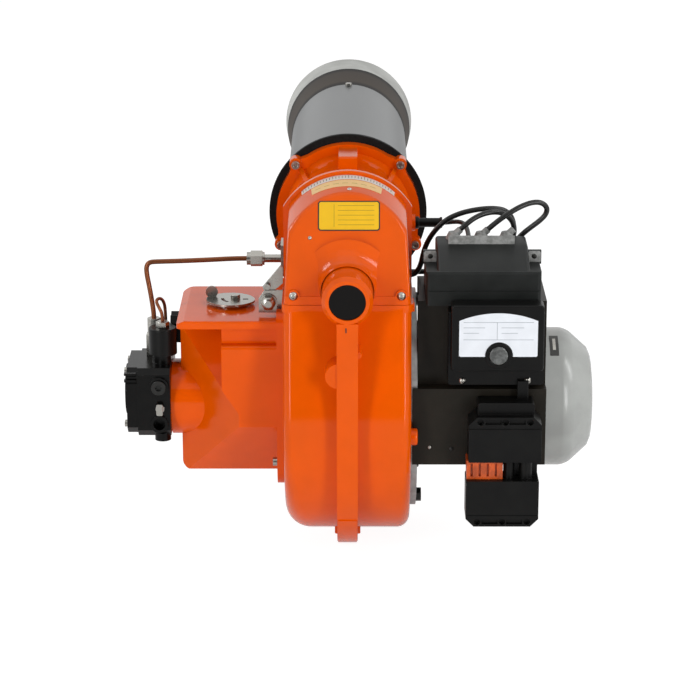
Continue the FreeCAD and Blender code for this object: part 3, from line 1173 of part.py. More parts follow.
def pump_cover():
    """Ribbed end cover of the pump."""
    x0, x1 = PUMP_LEFT, PUMP_SPLIT - 0.05
    plate = prism_x([(PUMP_FRONT + 12, PUMP_LOW + 2), (PUMP_FRONT + 3, PUMP_LOW + 10),
                     (PUMP_FRONT + 3, PUMP_HIGH - 8), (PUMP_FRONT + 12, PUMP_HIGH - 1),
                     (PUMP_REAR - 14, PUMP_HIGH - 1), (PUMP_REAR - 3, PUMP_HIGH - 14),
                     (PUMP_REAR - 3, PUMP_LOW + 14), (PUMP_REAR - 14, PUMP_LOW + 2)], x0 + 3, x1)
    raised = rod(26, (x0, FAN_Y, FAN_Z + 8), (x0 + 4, FAN_Y, FAN_Z + 8))
    ribs = [box(x0 + 1, x1 - 1, PUMP_FRONT + 0.6, PUMP_FRONT + 6, z, z + 2.4) for z in (RIB_Z, RIB_Z - 7)]
    bulge = rod(9.5, (x0 + 2, PUMP_FRONT + 12, PORT_HIGH + 1), (x1, PUMP_FRONT + 12, PORT_HIGH + 1))
    body = plate.fuse([raised, bulge] + ribs)
    holes = [rod(PUMP_SHAFT_R + 0.05, (x0 + 5, FAN_Y, FAN_Z), (x1 + 1, FAN_Y, FAN_Z))]
    holes += [rod(2.0 + FIT, (x0 - 1, y, z), (x1 + 1, y, z)) for y, z in pump_screw_places()]
    return body.cut(holes)


def pump_screw_places():
    """Centres of the pump cover screws in (y, z)."""
    return [(PUMP_FRONT + 17, PUMP_LOW + 10), (PUMP_REAR - 12, PUMP_LOW + 18), (PUMP_REAR - 16, PUMP_HIGH - 10),
            (PUMP_FRONT + 26, PUMP_HIGH - 9)]


def pump_screws():
    """Socket screws of the pump cover."""
    return [cap_screw(2.0, 3.6, 3.6, (PUMP_LEFT + 3, y, z), (PUMP_SPLIT - 0.2, y, z)) for y, z in pump_screw_places()]


def pump_plug():
    """Socket plug in the upper port of the pump."""
    y = PUMP_FRONT - 3
    head = rod(7.5, (PORT_X, y - 2.5, PORT_HIGH), (PORT_X, y - 0.1, PORT_HIGH))
    shank = rod(PORT_THREAD_R - FIT, (PORT_X, y - 1, PORT_HIGH), (PORT_X, y + 8, PORT_HIGH))
    return union(head, shank).cut(hexagon(6, (PORT_X, y - 3, PORT_HIGH), (PORT_X, y + 1, PORT_HIGH)))


def bleed_fitting():
    """Plated bleed fitting beside the ports."""
    x = PORT_X + 1
    y = PUMP_FRONT
    base = rod(4.5, (x, y - 0.05, BLEED_Z), (x, y - 3, BLEED_Z))
    block = box(x - 3.5, x + 3, y - 6.5, y - 2.5, BLEED_Z - 6, BLEED_Z + 6)
    return union(base, rounded(block, 1.5, lambda c, e: e.BoundBox.YLength > 3))


def pump_shaft():
    """Driving shaft of the pump."""
    return rod(PUMP_SHAFT_R, (PUMP_LEFT + 7, FAN_Y, FAN_Z), (PUMP_SHAFT_END, FAN_Y, FAN_Z))


def solenoid_stem():
    """Stem of the solenoid valve, screwed into the pump, with the nut that holds the coil."""
    stem = rod(COIL_STEM_R, (COIL_X, COIL_Y, PUMP_HIGH - 5.9), (COIL_X, COIL_Y, COIL_TOP + 3))
    return union(stem, hexagon(12, (COIL_X, COIL_Y, COIL_TOP + 0.1), (COIL_X, COIL_Y, COIL_TOP + 6)))


def solenoid_coil():
    """Moulded coil over the stem."""
    body = rounded(rod(COIL_R, (COIL_X, COIL_Y, COIL_LOW), (COIL_X, COIL_Y, COIL_TOP)), 1.5,
                   lambda c, e: abs(c.z - COIL_TOP) < 0.1 and e.BoundBox.XLength > 5)
    side = box(COIL_X + 2, COIL_X + 11, COIL_Y, COIL_Y + COIL_R + 3.2, COIL_LOW + 3, COIL_TOP - 4)
    return union(body, side).cut(rod(COIL_STEM_R + FIT, (COIL_X, COIL_Y, PUMP_HIGH), (COIL_X, COIL_Y, COIL_TOP + 1)))


def valve_connector():
    """Plug on the coil's rear side."""
    y0 = COIL_Y + COIL_R + 3.3
    body = prism_x([(y0, COIL_TOP - 22), (y0, COIL_TOP - 2), (y0 + 5, COIL_TOP + 6), (y0 + 12, COIL_TOP + 3),
                    (y0 + 20, COIL_TOP + 7), (y0 + 20, COIL_TOP - 22)], COIL_X + 6.5, COIL_X + 17.5)
    return rounded(body, 1.2, lambda c, e: e.BoundBox.XLength > 10 and c.z > COIL_TOP - 5)


def outlet_union():
    """Outlet block on the pump with the nuts of both pipes."""
    x0, x1 = UNION_X - 8, BYPASS_X + 3.5
    y = UNION_Y
    top = PUMP_HIGH + UNION_BLOCK
    block = box(x0, x1, y - 6, y + 6, PUMP_HIGH + 0.05, top)
    nut = hexagon(12, (UNION_X, y, top - 1), (UNION_X, y, UNION_TOP))
    small = hexagon(7.5, (BYPASS_X, y, top - 1), (BYPASS_X, y, UNION_TOP - 5))
    body = union(block, nut, small)
    return body.cut([rod(PIPE_R + 0.05, (UNION_X, y, UNION_TOP - 8), (UNION_X, y, UNION_TOP + 1)),
                     rod(BYPASS_R + 0.05, (BYPASS_X, y, UNION_TOP - 10), (BYPASS_X, y, UNION_TOP))])


def bent_route(points):
    """Straight runs joined by tangent arcs, each as large as its two runs allow."""
    corners = [Vector(*p) for p in points]
    edges = []
    radii = []
    start = corners[0]
    for a, b, c in zip(corners, corners[1:], corners[2:]):
        into = (b - a).normalize()
        out = (c - b).normalize()
        turn = into.getAngle(out)
        shorter = min((b - a).Length, (c - b).Length)
        setback = 0.45 * shorter
        radius = setback / math.tan(turn / 2)
        p = b - into * setback
        q = b + out * setback
        bisector = (out - into).normalize()
        centre_gap = math.hypot(setback, radius)
        middle = b + bisector * (centre_gap - radius)
        edges.append(Part.makeLine(start, p))
        edges.append(Part.Arc(p, middle, q).toShape())
        radii.append(round(radius, 1))
        start = q
    edges.append(Part.makeLine(start, corners[-1]))
    return Part.Wire(edges), radii


def bent_bar(name, points, radius):
    """Round bar along a bent route; prints its radii and how its volume compares with its length."""
    route, radii = bent_route(points)
    bar = swept(radius, route)
    share = bar.Volume / (math.pi * radius ** 2 * route.Length)
    print(name, "radii", radii, "length", round(route.Length, 1), "volume share", round(share, 4))
    return bar


def copper_pipe():
    """Pressure pipe from the pump to the nozzle line."""
    points = [(UNION_X, UNION_Y, UNION_TOP - 7.5), (UNION_X, UNION_Y, UNION_TOP + 4),
              (UNION_X - 2.5, UNION_Y + 2, -30), (CORNER_X, UNION_Y + 4, CORNER_Z - 12),
              (CORNER_X + 9, UNION_Y + 5, CORNER_Z), (CORNER_X + 34, UNION_Y + 6, CORNER_Z + 0.5),
              (NUT_X0 - 12, NOZZLE_ENTRY_Y, 0), (NUT_X0 + 3, NOZZLE_ENTRY_Y, 0)]
    return bent_bar("copper_pipe", points, PIPE_R)


def bypass_pipe():
    """Thin pipe that loops from the outlet block to the solenoid valve."""
    y = UNION_Y
    points = [(BYPASS_X, y, UNION_TOP - 9.5), (BYPASS_X, y, UNION_TOP + 5), (BYPASS_X - 1, y - 3, LOOP_TOP - 6),
              (BYPASS_X - 5, y - 9, LOOP_TOP), (BYPASS_X - 8.5, y - 17, LOOP_TOP - 1),
              (COIL_X - 3.5, COIL_Y + 1.5, LOOP_TOP - 6), (COIL_X, COIL_Y, COIL_TOP + 14),
              (COIL_X, COIL_Y, COIL_TOP + 6.1)]
    return bent_bar("bypass_pipe", points, BYPASS_R)


def pipe_nut():
    """Union nut that joins the pipe and the nipple."""
    y = NOZZLE_ENTRY_Y
    nut = union(hexagon(14.5, (NUT_X0 + 4, y, 0), (NUT_X1 - 2, y, 0)), rod(6.6, (NUT_X0, y, 0), (NUT_X0 + 5, y, 0)),
                rod(6.8, (NUT_X1 - 3, y, 0), (NUT_X1, y, 0)))
    return nut.cut([rod(PIPE_R + 0.05, (NUT_X0 - 1, y, 0), (NUT_X0 + 6, y, 0)),
                    rod(PIPE_STEM_R + 0.05, (NUT_X0 + 6, y, 0), (NUT_X1 + 1, y, 0))])


def pipe_nipple():
    """Plated nipple from the nut through the side plate into the housing."""
    y = NOZZLE_ENTRY_Y
    stem = rod(PIPE_STEM_R, (NUT_X0 + 6.2, y, 0), (LEFT + WALL - 0.1, y, 0))
    return stem.cut(rod(2.5, (NUT_X0 + 5, y, 0), (LEFT + WALL + 1, y, 0)))


def nozzle_side_plate():
    """Plated plate on the housing's side that holds the nipple."""
    y = NOZZLE_ENTRY_Y
    plate = box(LEFT - 5, LEFT + 3, y - 12.7, y + 15, -17, 19)
    plate = rounded(plate, 5.0, lambda c, e: e.BoundBox.XLength > 7)
    return plate.cut([rod(NECK_R + FIT, (0, y - 40, 0), (0, y + 40, 0)),
                      box(LEFT - FIT, RIGHT, y - 40, y + 40, -60, 0),
                      rod(PIPE_STEM_R + 0.05, (LEFT - 8, y, 0), (LEFT + 6, y, 0))])


def hinge_bracket():
    """Bent steel bracket on the housing's side above the air box."""
    y = HINGE_Y
    z = (FLANGE_HIGH + SEAM_Z - SEAM_BAND) / 2
    inner = LEFT - SEAM_PROUD - 0.1
    rim_low = SEAM_Z - SEAM_BAND - 0.6
    face = prism_y([(inner, -15), (LEFT - 20, -15), (LEFT - 26, -24), (LEFT - 26, -38), (LEFT - 0.1, -38),
                    (LEFT - 0.1, rim_low), (inner, rim_low)], y, y + 2.5)
    tail = box(LEFT - 2.6, LEFT - 0.1, y, y + 40, FLANGE_HIGH + 0.5, rim_low)
    strap = prism_y([(inner, 8), (LEFT - 4, 10), (LEFT - 22, -12), (LEFT - 19, -19), (LEFT - 12, -17),
                     (inner, -8)], y + 2, y + 5)
    eye = rod(3.0, (LEFT - 17, y - 2.5, -11), (LEFT - 17, y + 3, -11))
    return union(face, tail, strap, eye).cut([rod(4 + FIT, (HINGE_X, y - 1, HINGE_Z), (HINGE_X, y + 6, HINGE_Z)),
                                              rod(2.5 + FIT, (LEFT - 5, y + 28, z), (LEFT + 1, y + 28, z))])


def hinge_bolt():
    """Large plated bolt with its washer on the bracket."""
    y = HINGE_Y
    washer = rod(8.4, (HINGE_X, y - 2, HINGE_Z), (HINGE_X, y - 0.1, HINGE_Z))
    head = hexagon(13, (HINGE_X, y - 9, HINGE_Z), (HINGE_X, y - 1.5, HINGE_Z))
    head = head.common(Part.makeSphere(11.5, Vector(HINGE_X, y + 2, HINGE_Z)))
    return union(washer, head, rod(4, (HINGE_X, y - 2.5, HINGE_Z), (HINGE_X, y + 12, HINGE_Z)))


def bracket_screw():
    """Screw that holds the bracket on the housing."""
    y = HINGE_Y + 28
    z = (FLANGE_HIGH + SEAM_Z - SEAM_BAND) / 2
    return dome_screw(2.5, 4.4, 3.0, (LEFT - 2.6, y, z), (LEFT - 0.15, y, z))


# Controls

def control_bracket():
    """Black sheet bracket that carries the controls beside the motor."""
    t = SHEET
    x0, x1 = BRACKET_X0, BRACKET_X1
    front = box(x0, x1, BRACKET_Y, BRACKET_Y + t, BRACKET_LOW, BRACKET_STEP)
    step = box(x0 + 6.5, x1, BRACKET_Y, RECESS_Y + t, BRACKET_STEP - t, BRACKET_STEP)
    recess = box(x0 + 6.5, x1, RECESS_Y, RECESS_Y + t, BRACKET_STEP - t, SHELF_TOP)
    shelf = box(x0 + 6.5, x1, RECESS_Y, SHELF_REAR, SHELF_TOP - t, SHELF_TOP)
    rear = box(x0 + 6.5, x1, SHELF_REAR - t, SHELF_REAR, SHELF_TOP - 24, SHELF_TOP)
    left = box(RETURN_X, RETURN_X + t, BRACKET_Y, RETURN_Y + 10, BRACKET_LOW, BRACKET_STEP)
    left_high = box(RETURN_X, RETURN_X + t, RECESS_Y, RETURN_Y, BRACKET_STEP - t, SHELF_TOP)
    right = box(x1 - t, x1, BRACKET_Y, FAN_Y - COWL_R - 2, BRACKET_LOW, BRACKET_STEP)
    right_high = box(x1 - t, x1, RECESS_Y, SHELF_REAR, SHELF_TOP - 40, SHELF_TOP)
    body = front.fuse([step, recess, shelf, rear, left, left_high, right, right_high]).removeSplitter()
    return body.cut([rod(2.0 + FIT, (x, BRACKET_Y - 1, CONNECTOR_HIGH - 22), (x, BRACKET_Y + 3, CONNECTOR_HIGH - 22))
                     for x in (CONNECTOR_X0 + 12, CONNECTOR_X1 - 12)])


def control_base():
    """Terminal base of the control unit, with a skirt below the unit."""
    body = box(CONTROL_X0 - 2, CONTROL_X1 + 2, CONTROL_SPLIT, RECESS_Y, CONTROL_LOW - CONTROL_SKIRT, CONTROL_HIGH - 12)
    body = rounded(body, 2.5, lambda c, e: e.BoundBox.YLength > 10)
    holes = [rod(BASE_SCREW_R + FIT, (x, CONTROL_SPLIT - 1, CONTROL_LOW - 16), (x, CONTROL_SPLIT + 12, CONTROL_LOW - 16))
             for x in base_screw_places()]
    return body.cut(holes)


def base_screw_places():
    """X of the two screws in the base's skirt."""
    return [CONTROL_X0 + 12, CONTROL_X1 - 14]


def control_box():
    """Plug-in control unit with a moulded ring round its reset button."""
    front = CONTROL_FRONT
    body = box(CONTROL_X0, CONTROL_X1, front, CONTROL_SPLIT - 0.1, CONTROL_LOW, CONTROL_HIGH)
    body = rounded(body, 3.0, lambda c, e: e.BoundBox.YLength > 10)
    body = rounded(body, 1.5, lambda c, e: abs(c.y - front) < 0.01)
    ring = rod(BUTTON_R + 4, (BUTTON_X, front - 1.6, BUTTON_Z), (BUTTON_X, front + 1, BUTTON_Z))
    body = body.fuse(ring)
    return body.cut(rod(BUTTON_R + 0.3, (BUTTON_X, front - 3, BUTTON_Z), (BUTTON_X, front + BUTTON_DEPTH, BUTTON_Z)))


def reset_button():
    """Clear reset button in its ring."""
    front = CONTROL_FRONT - 2.4
    cap = rod(BUTTON_R, (BUTTON_X, front, BUTTON_Z), (BUTTON_X, front + 7.5, BUTTON_Z))
    cap = rounded(cap, 1.2, lambda c, e: abs(c.y - front) < 0.01)
    guide = rod(3.0, (BUTTON_X, front + 7, BUTTON_Z), (BUTTON_X, CONTROL_FRONT + BUTTON_DEPTH - BUTTON_TRAVEL - 0.4,
                                                      BUTTON_Z))
    return union(cap, guide)


def ignition_transformer():
    """Moulded ignition transformer with a sloping front and two lugs."""
    x0, x1 = COIL_BOX_X0, COIL_BOX_X1
    y0, y1 = COIL_BOX_FRONT, COIL_BOX_REAR
    low = SHELF_TOP + 0.1
    block = prism_x([(y0, low), (y0, COIL_BOX_KNEE - 2), (y0 + 2, COIL_BOX_KNEE), (y1, COIL_BOX_KNEE), (y1, low)],
                    x0, x1)
    block = rounded(block, 4.0, lambda c, e: e.BoundBox.ZLength > 20 and c.y < y0 + 1)
    inset = 11.0
    hump = prism_x([(y0 + 3, COIL_BOX_KNEE - 2), (y0 + 4, COIL_BOX_KNEE), (y0 + 45, COIL_BOX_TOP),
                    (y1, COIL_BOX_TOP), (y1, COIL_BOX_KNEE - 2)], x0 + inset, x1 - inset)
    hump = rounded(hump, 3.0, lambda c, e: e.BoundBox.XLength < 0.1 and c.z > COIL_BOX_KNEE + 3)
    lug_y = y0 + 40
    lugs = []
    for a, b in ((x0 - 2, x0 + inset + 1), (x1 - inset - 1, x1 + 2)):
        lug = box(a, b, lug_y, lug_y + 5, COIL_BOX_KNEE - 2, COIL_BOX_TOP - 4)
        hole_x = (a + b) / 2
        hole_z = (COIL_BOX_KNEE + COIL_BOX_TOP) / 2 - 1
        lugs.append(lug.cut(rod(2.6, (hole_x, lug_y - 1, hole_z), (hole_x, lug_y + 6, hole_z))))
    groove = box(x0 - 1, x1 + 1, y0 - 1, y0 + 0.8, low + 14.5, low + 16)
    return block.fuse([hump] + lugs).removeSplitter().cut(groove)


def lead_places():
    """X of the three cable bushes on the transformer."""
    return (LEAD_X, LEAD_X + LEAD_PITCH, LEAD_X + 2 * LEAD_PITCH - 2)


def transformer_bushes():
    """Three grey bushes on top of the transformer."""
    bushes = []
    for x in lead_places():
        dome = taper(8.0, 5.0, (x, LEAD_Y, COIL_BOX_TOP + 0.05), (x, LEAD_Y, COIL_BOX_TOP + 7))
        neck = rod(LEAD_R + 0.9, (x, LEAD_Y, COIL_BOX_TOP + 3), (x + NECK_REACH_X, LEAD_Y, COIL_BOX_TOP + NECK_REACH_Z))
        bushes.append(union(dome, neck))
    return bushes


def connector_shell(x0, x1, low, high, front, rear, chamfer_low, chamfer_high):
    """Shell of a seven-pole connector with chamfered corners and round sockets."""
    points = [(x0, low + chamfer_low), (x0 + chamfer_low, low), (x1 - chamfer_low, low), (x1, low + chamfer_low),
              (x1, high - chamfer_high), (x1 - chamfer_high, high), (x0 + chamfer_high, high),
              (x0, high - chamfer_high)]
    points = [p for i, p in enumerate(points) if p != points[i - 1]]
    return prism_y(points, front, rear)


def socket_connector():
    """Upper connector, fixed on the bracket."""
    x0, x1 = CONNECTOR_X0, CONNECTOR_X1
    low, high = CONNECTOR_LOW, CONNECTOR_HIGH
    shell = connector_shell(x0, x1, low, high, CONNECTOR_FRONT, BRACKET_Y - 0.1, 0.5, 8.0)
    hood = box(x0 + 9, x1 - 7, CONNECTOR_FRONT + 9, BRACKET_Y - 0.1, high - 1, high + 12)
    hood = rounded(hood, 3.0, lambda c, e: c.z > high + 11 and e.BoundBox.YLength > 5)
    holes = [rod(3.2, (x, CONNECTOR_FRONT - 1, high - 5), (x, CONNECTOR_FRONT + 5, high - 5))
             for x in (x0 + 11.5, (x0 + x1) / 2, x1 - 11.5)]
    slots = [box(x - 8, x + 8, CONNECTOR_FRONT - 1, CONNECTOR_FRONT + 3, high - 7.3, high - 2.6)
             for x in (x0 + 24, x1 - 24)]
    line = box(x0 - 1, x1 + 1, CONNECTOR_FRONT - 1, CONNECTOR_FRONT + 0.8, high - 12.4, high - 11.4)
    return shell.fuse(hood).removeSplitter().cut(holes + slots + [line])


def connector_insert():
    """Orange contact block between the two connector halves."""
    x0 = CONNECTOR_X0 - 1.5
    body = box(x0, x0 + 35.7, CONNECTOR_FRONT + 6, BRACKET_Y - 5, PLUG_HIGH + 0.05, CONNECTOR_LOW - 0.05)
    grooves = [box(x0 + 4 + 8 * i, x0 + 6 + 8 * i, CONNECTOR_FRONT + 5, CONNECTOR_FRONT + 9, PLUG_HIGH + 3,
                   CONNECTOR_LOW - 3) for i in range(4)]
    return body.cut(grooves)


def plug_connector():
    """Lower connector, latched to the upper one."""
    x0, x1 = CONNECTOR_X0 - 2.2, CONNECTOR_X1 - 1.7
    low, high = PLUG_LOW, PLUG_HIGH
    shell = connector_shell(x0, x1, low, high, CONNECTOR_FRONT, BRACKET_Y - 2, 8.0, 0.5)
    latches = [rod(r, (x, CONNECTOR_FRONT + 14, high - 1), (x, CONNECTOR_FRONT + 14, CONNECTOR_LOW - 0.1))
               for x, r in ((x0 + 43, 5.4), (x0 + 59.5, 6.5))]
    holes = [rod(3.2, (x, CONNECTOR_FRONT - 1, low + 5), (x, CONNECTOR_FRONT + 5, low + 5))
             for x in (x0 + 11.5, (x0 + x1) / 2, x1 - 11.5)]
    slots = [box(x - 8, x + 8, CONNECTOR_FRONT - 1, CONNECTOR_FRONT + 3, low + 2.6, low + 7.3)
             for x in (x0 + 24, x1 - 24)]
    neck = box(x0 + 38, x1 - 1, CONNECTOR_FRONT + 17, BRACKET_Y - 3, high - 1, CONNECTOR_LOW - 0.1)
    line = box(x0 - 1, x1 + 1, CONNECTOR_FRONT - 1, CONNECTOR_FRONT + 0.8, low + 11.4, low + 12.4)
    return shell.fuse(latches + [neck]).removeSplitter().cut(holes + slots + [line])


# Leads

def ignition_lead_a():
    """Lead from the housing over the transformer to the rear of the bracket."""
    x, y = RIGHT, SHELF_REAR
    return bent_bar("ignition_lead_a", [
        (x + 0.05, y + 1, -15), (x + 4, y + 1, -15), (x + 8.5, y + 1, -11), (x + 12, y + 1, -3), (x + 14, y + 1, 8),
        (x + 18, y + 0.5, 20), (x + 26, y - 1, 33), (x + 37, y - 0.5, 43.5), (x + 51, y, 50), (x + 67, y + 1, 53.5),
        (x + 83, y + 3, 54.5), (x + 96, y + 7, 52), (x + 104, y + 11, 44), (x + 107, y + 13, 32),
        (x + 106, y + 14, 18), (x + 101, y + 14, 4), (x + 93, y + 12, -8), (x + 87, y + 10, -17),
        (x + 83.5, y + 7.5, -21.5), (x + 83, y + 4, -22.5), (x + 83, y + 0.05, -22.5)], LEAD_R)


def ignition_lead_b():
    """Lead from the first bush behind the transformer into the housing."""
    x, y = lead_places()[0], LEAD_Y
    return bent_bar("ignition_lead_b", [
        (x + NECK_REACH_X + 0.05, y, COIL_BOX_TOP + NECK_REACH_Z + 0.05), (x + 10.7, y, 46.45), (x + 20, y + 3, 53.5),
        (x + 30, y + 6, 57.5), (x + 40, y + 9, 58.7), (x + 49, y + 14, 56.5), (x + 57, y + 20, 50),
        (x + 62, y + 27, 41), (x + 63, y + 33, 29), (x + 58, y + 38, 16), (x + 46, y + 41.5, 4),
        (x + 30, y + 44, -6), (x + 10, y + 48, -12), (x - 18, y + 50.5, -15), (RIGHT + 0.05, y + 50.5, -15)], LEAD_R)


def ignition_lead_c():
    """Lead from the second bush in a wide loop to the transformer's rear."""
    x, y = lead_places()[1], LEAD_Y
    return bent_bar("ignition_lead_c", [
        (x + NECK_REACH_X + 0.05, y, COIL_BOX_TOP + NECK_REACH_Z + 0.05), (x + 10.7, y, 46.45), (x + 20, y + 0.5, 54),
        (x + 30, y + 2, 60.5), (x + 41, y + 5, 66), (x + 52, y + 8, 69), (x + 61, y + 10, 68), (x + 66.5, y + 12, 62.5),
        (x + 66, y + 13.5, 55.5), (x + 60, y + 14.5, 48.5), (x + 52, y + 15.5, 42), (x + 45, y + 16.5, 36),
        (x + 40, y + 17, 31), (x + 37.5, y + 15.5, 28), (x + 37.5, COIL_BOX_REAR + 0.05, 28)], LEAD_R)


def photocell_lead():
    """Lead from the photocell to the rear of the bracket."""
    x, y = CELL_END, CELL_Y
    start = CELL_Y - 32
    run = SHELF_REAR + 14 - start
    return bent_bar("photocell_lead", [
        (x + 0.05, y, CELL_Z), (x + 4, y, CELL_Z), (x + 11, y - 1, 4), (x + 17.5, y - 6, 5.5), (x + 23, y - 16, 6),
        (x + 26, start, 3), (x + 26.5, start + 0.24 * run, -2), (x + 25, start + 0.53 * run, -10),
        (x + 23, start + 0.82 * run, -19), (x + 21, start + run, -26), (x + 20, SHELF_REAR + 7, -27.5),
        (x + 20, SHELF_REAR + 0.05, -27.5)], CELL_LEAD_R)


def dome_screws():
    """Domed screws of the cover, the motor cowl, the bracket and the control base."""
    base = [dome_screw(BASE_SCREW_R, 3.6, 2.4, (x, CONTROL_SPLIT - 0.05, CONTROL_LOW - 16),
                       (x, CONTROL_SPLIT + 10, CONTROL_LOW - 16)) for x in base_screw_places()]
    return cover_screws() + cowl_screws() + [bracket_screw()] + base


def cap_screws():
    """Socket screws of the pump cover and the air box."""
    return pump_screws() + air_box_screws()


def pump_fittings():
    """Outlet block with its nuts and the bleed fitting on the pump's front."""
    return [outlet_union(), bleed_fitting()]


NODES = [
    fan_housing, housing_cover, dome_screws, sight_glass, flange_gasket, flange_screws, blast_tube, flame_head,
    head_end_ring, head_screws, nozzle_line, nozzle_block, oil_nozzle, flame_disc, electrodes, photocell,
    fan_wheel, motor_shaft, coupling, cooling_fan, motor_flange, motor_bolts, motor_frame, stator, motor_cowl,
    air_box, cap_screws, inlet_ring, damper_shaft, damper_blade, damper_screw, damper_lever,
    pump_body, pump_cover, pump_plug, pump_shaft, solenoid_stem, solenoid_coil, valve_connector, pump_fittings,
    copper_pipe, bypass_pipe, pipe_nut, pipe_nipple, nozzle_side_plate, hinge_bracket, hinge_bolt,
    control_bracket, control_base, control_box, reset_button, ignition_transformer, transformer_bushes,
    socket_connector, plug_connector, connector_insert, ignition_lead_a, ignition_lead_b, ignition_lead_c,
    photocell_lead,
]


def main():
    """Write one file for each node."""
    os.makedirs("parts", exist_ok=True)
    for build in NODES:
        shape = build()
        if isinstance(shape, list):
            shape = Part.makeCompound(shape)
        shape.exportStep("parts/" + build.__name__ + ".step")


main()
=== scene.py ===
"""Looks of a pressure-jet waste oil burner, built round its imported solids."""

import json
import math

import bmesh
import bpy
from mathutils import Matrix, Vector
from mathutils.bvhtree import BVHTree


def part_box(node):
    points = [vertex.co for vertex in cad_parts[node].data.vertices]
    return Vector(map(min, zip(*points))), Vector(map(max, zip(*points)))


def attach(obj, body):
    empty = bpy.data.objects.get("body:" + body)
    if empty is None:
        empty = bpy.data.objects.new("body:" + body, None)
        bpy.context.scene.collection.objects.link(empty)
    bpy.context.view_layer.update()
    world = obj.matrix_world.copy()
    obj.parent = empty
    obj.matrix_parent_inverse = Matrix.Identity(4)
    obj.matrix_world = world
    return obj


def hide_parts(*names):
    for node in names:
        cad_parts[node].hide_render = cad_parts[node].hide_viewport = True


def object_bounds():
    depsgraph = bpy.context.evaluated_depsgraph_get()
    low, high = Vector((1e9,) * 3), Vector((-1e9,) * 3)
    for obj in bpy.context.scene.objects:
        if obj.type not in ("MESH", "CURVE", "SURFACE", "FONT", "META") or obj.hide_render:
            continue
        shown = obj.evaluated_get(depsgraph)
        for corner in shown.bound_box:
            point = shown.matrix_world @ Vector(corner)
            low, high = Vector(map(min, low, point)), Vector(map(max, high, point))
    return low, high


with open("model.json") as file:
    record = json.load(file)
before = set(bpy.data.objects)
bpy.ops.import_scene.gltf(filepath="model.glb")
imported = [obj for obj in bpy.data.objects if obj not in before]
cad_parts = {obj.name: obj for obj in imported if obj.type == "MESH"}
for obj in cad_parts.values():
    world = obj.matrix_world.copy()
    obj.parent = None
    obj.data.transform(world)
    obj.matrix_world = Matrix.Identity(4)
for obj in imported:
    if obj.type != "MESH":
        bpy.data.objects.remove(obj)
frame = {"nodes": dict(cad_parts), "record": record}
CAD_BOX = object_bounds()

bl_info = {
    "name": "Waste oil burner",
    "version": (1, 0, 0),
    "blender": (4, 5, 0),
    "location": "View3D > Sidebar > Burner",
    "description": "Builds the finishes, labels, leads and stage of a waste oil burner",
    "category": "Object",
}

NODES = frame["nodes"]
ROOT = "burner"
FRONT = (0, -1, 0)               # outward on the side that faces the camera

# Lengths are in millimetres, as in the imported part, and times MM they are in metres.
MM = 0.001
FAN_AXIS = (-215.0, -143.0)      # where the fan's axis crosses the YZ plane
COWL_SHOULDER = 223.5            # X of the cowl's shoulder
COWL_OUTSIDE = 68.5              # radius that only the cowl's outer wall passes
COWL_ROUND = 9.0
BLOCK_BAND = (-67.0, -57.0)      # heights between which the air box block's top edge lies
BLOCK_BACK = -273.0              # Y behind which the block's top isn't touched
BLOCK_SIDE = -128.0              # X of the block's left side
BLOCK_DROP = 7.5
HEAD_SLEEVE = 14.0               # length of the flame head's sleeve inside the tube
LUG_MIDDLES = (82.0, 185.0)      # X of the transformer's two lugs
LUG_FRONT = -280.05
CONTROL_FRONT = -345.0
VAULT_HEIGHT = 30                # height of the axis that the scale is wrapped round
FOIL = 0.2                       # how thick foils on a curved surface are
FOIL_LIFT = 0.3                  # how far their tops stand above it
INK = 0.1                        # the same for lines printed on them
INK_LIFT = 0.35
CLOTH_PLACE = (0, -5000, 900)

# How much of its own light the floor shows to the camera and in reflections, and its strength.
FLOOR_SEEN = 0.75
FLOOR_MIRRORED = 0.3
FLOOR_GLOW = 1.25

# Stage, in metres. Lamps: name, place, target, the setting that holds the power, width, height.
MIDDLE = (0, -0.2, -0.1)
LAMPS = (
    ("lamp_left", (-1.5, -2.4, 0.45), MIDDLE, "key", 0.5, 1.5),
    ("lamp_right", (1.5, -2.4, 0.45), MIDDLE, "key", 0.5, 1.5),
    ("strip_left", (-1.8, 0.6, 1.0), MIDDLE, "rim", 0.3, 1.4),
    ("strip_right", (1.6, -0.6, 1.4), MIDDLE, "rim", 0.3, 1.4),
    ("lamp_top", (0, -0.3, 2.2), (0, 0, 0), "top", 1.8, 1.8),
)
FLOOR_HALF = 12.0
CLOTH_HALF = 2.6


# Colours and materials

def linear(code):
    """Linear colour of an sRGB hex code."""
    parts = [int(code[i:i + 2], 16) / 255 for i in (0, 2, 4)]
    return tuple(c / 12.92 if c <= 0.04045 else ((c + 0.055) / 1.055) ** 2.4 for c in parts)


def shade(code):
    """Linear colour with full alpha."""
    return (*linear(code), 1.0)


def add_node(tree, kind, links=(), **settings):
    """Add a node, set its properties and inputs, and link (output socket, input name) pairs to it."""
    node = tree.nodes.new(kind)
    for key, value in settings.items():
        if hasattr(node, key):
            setattr(node, key, value)
        else:
            node.inputs[key.replace("_", " ")].default_value = value
    for source, target in links:
        tree.links.new(source, node.inputs[target])
    return node


def new_material(name, color, metallic, roughness, **sockets):
    """A Principled material with constant sockets; returns the material, its tree and its shader."""
    material = bpy.data.materials.new(name)
    material.use_nodes = True
    tree = material.node_tree
    shader = tree.nodes["Principled BSDF"]
    shader.inputs["Base Color"].default_value = color
    shader.inputs["Metallic"].default_value = metallic
    shader.inputs["Roughness"].default_value = roughness
    for key, value in sockets.items():
        shader.inputs[key.replace("_", " ")].default_value = value
    material.diffuse_color = color
    return material, tree, shader


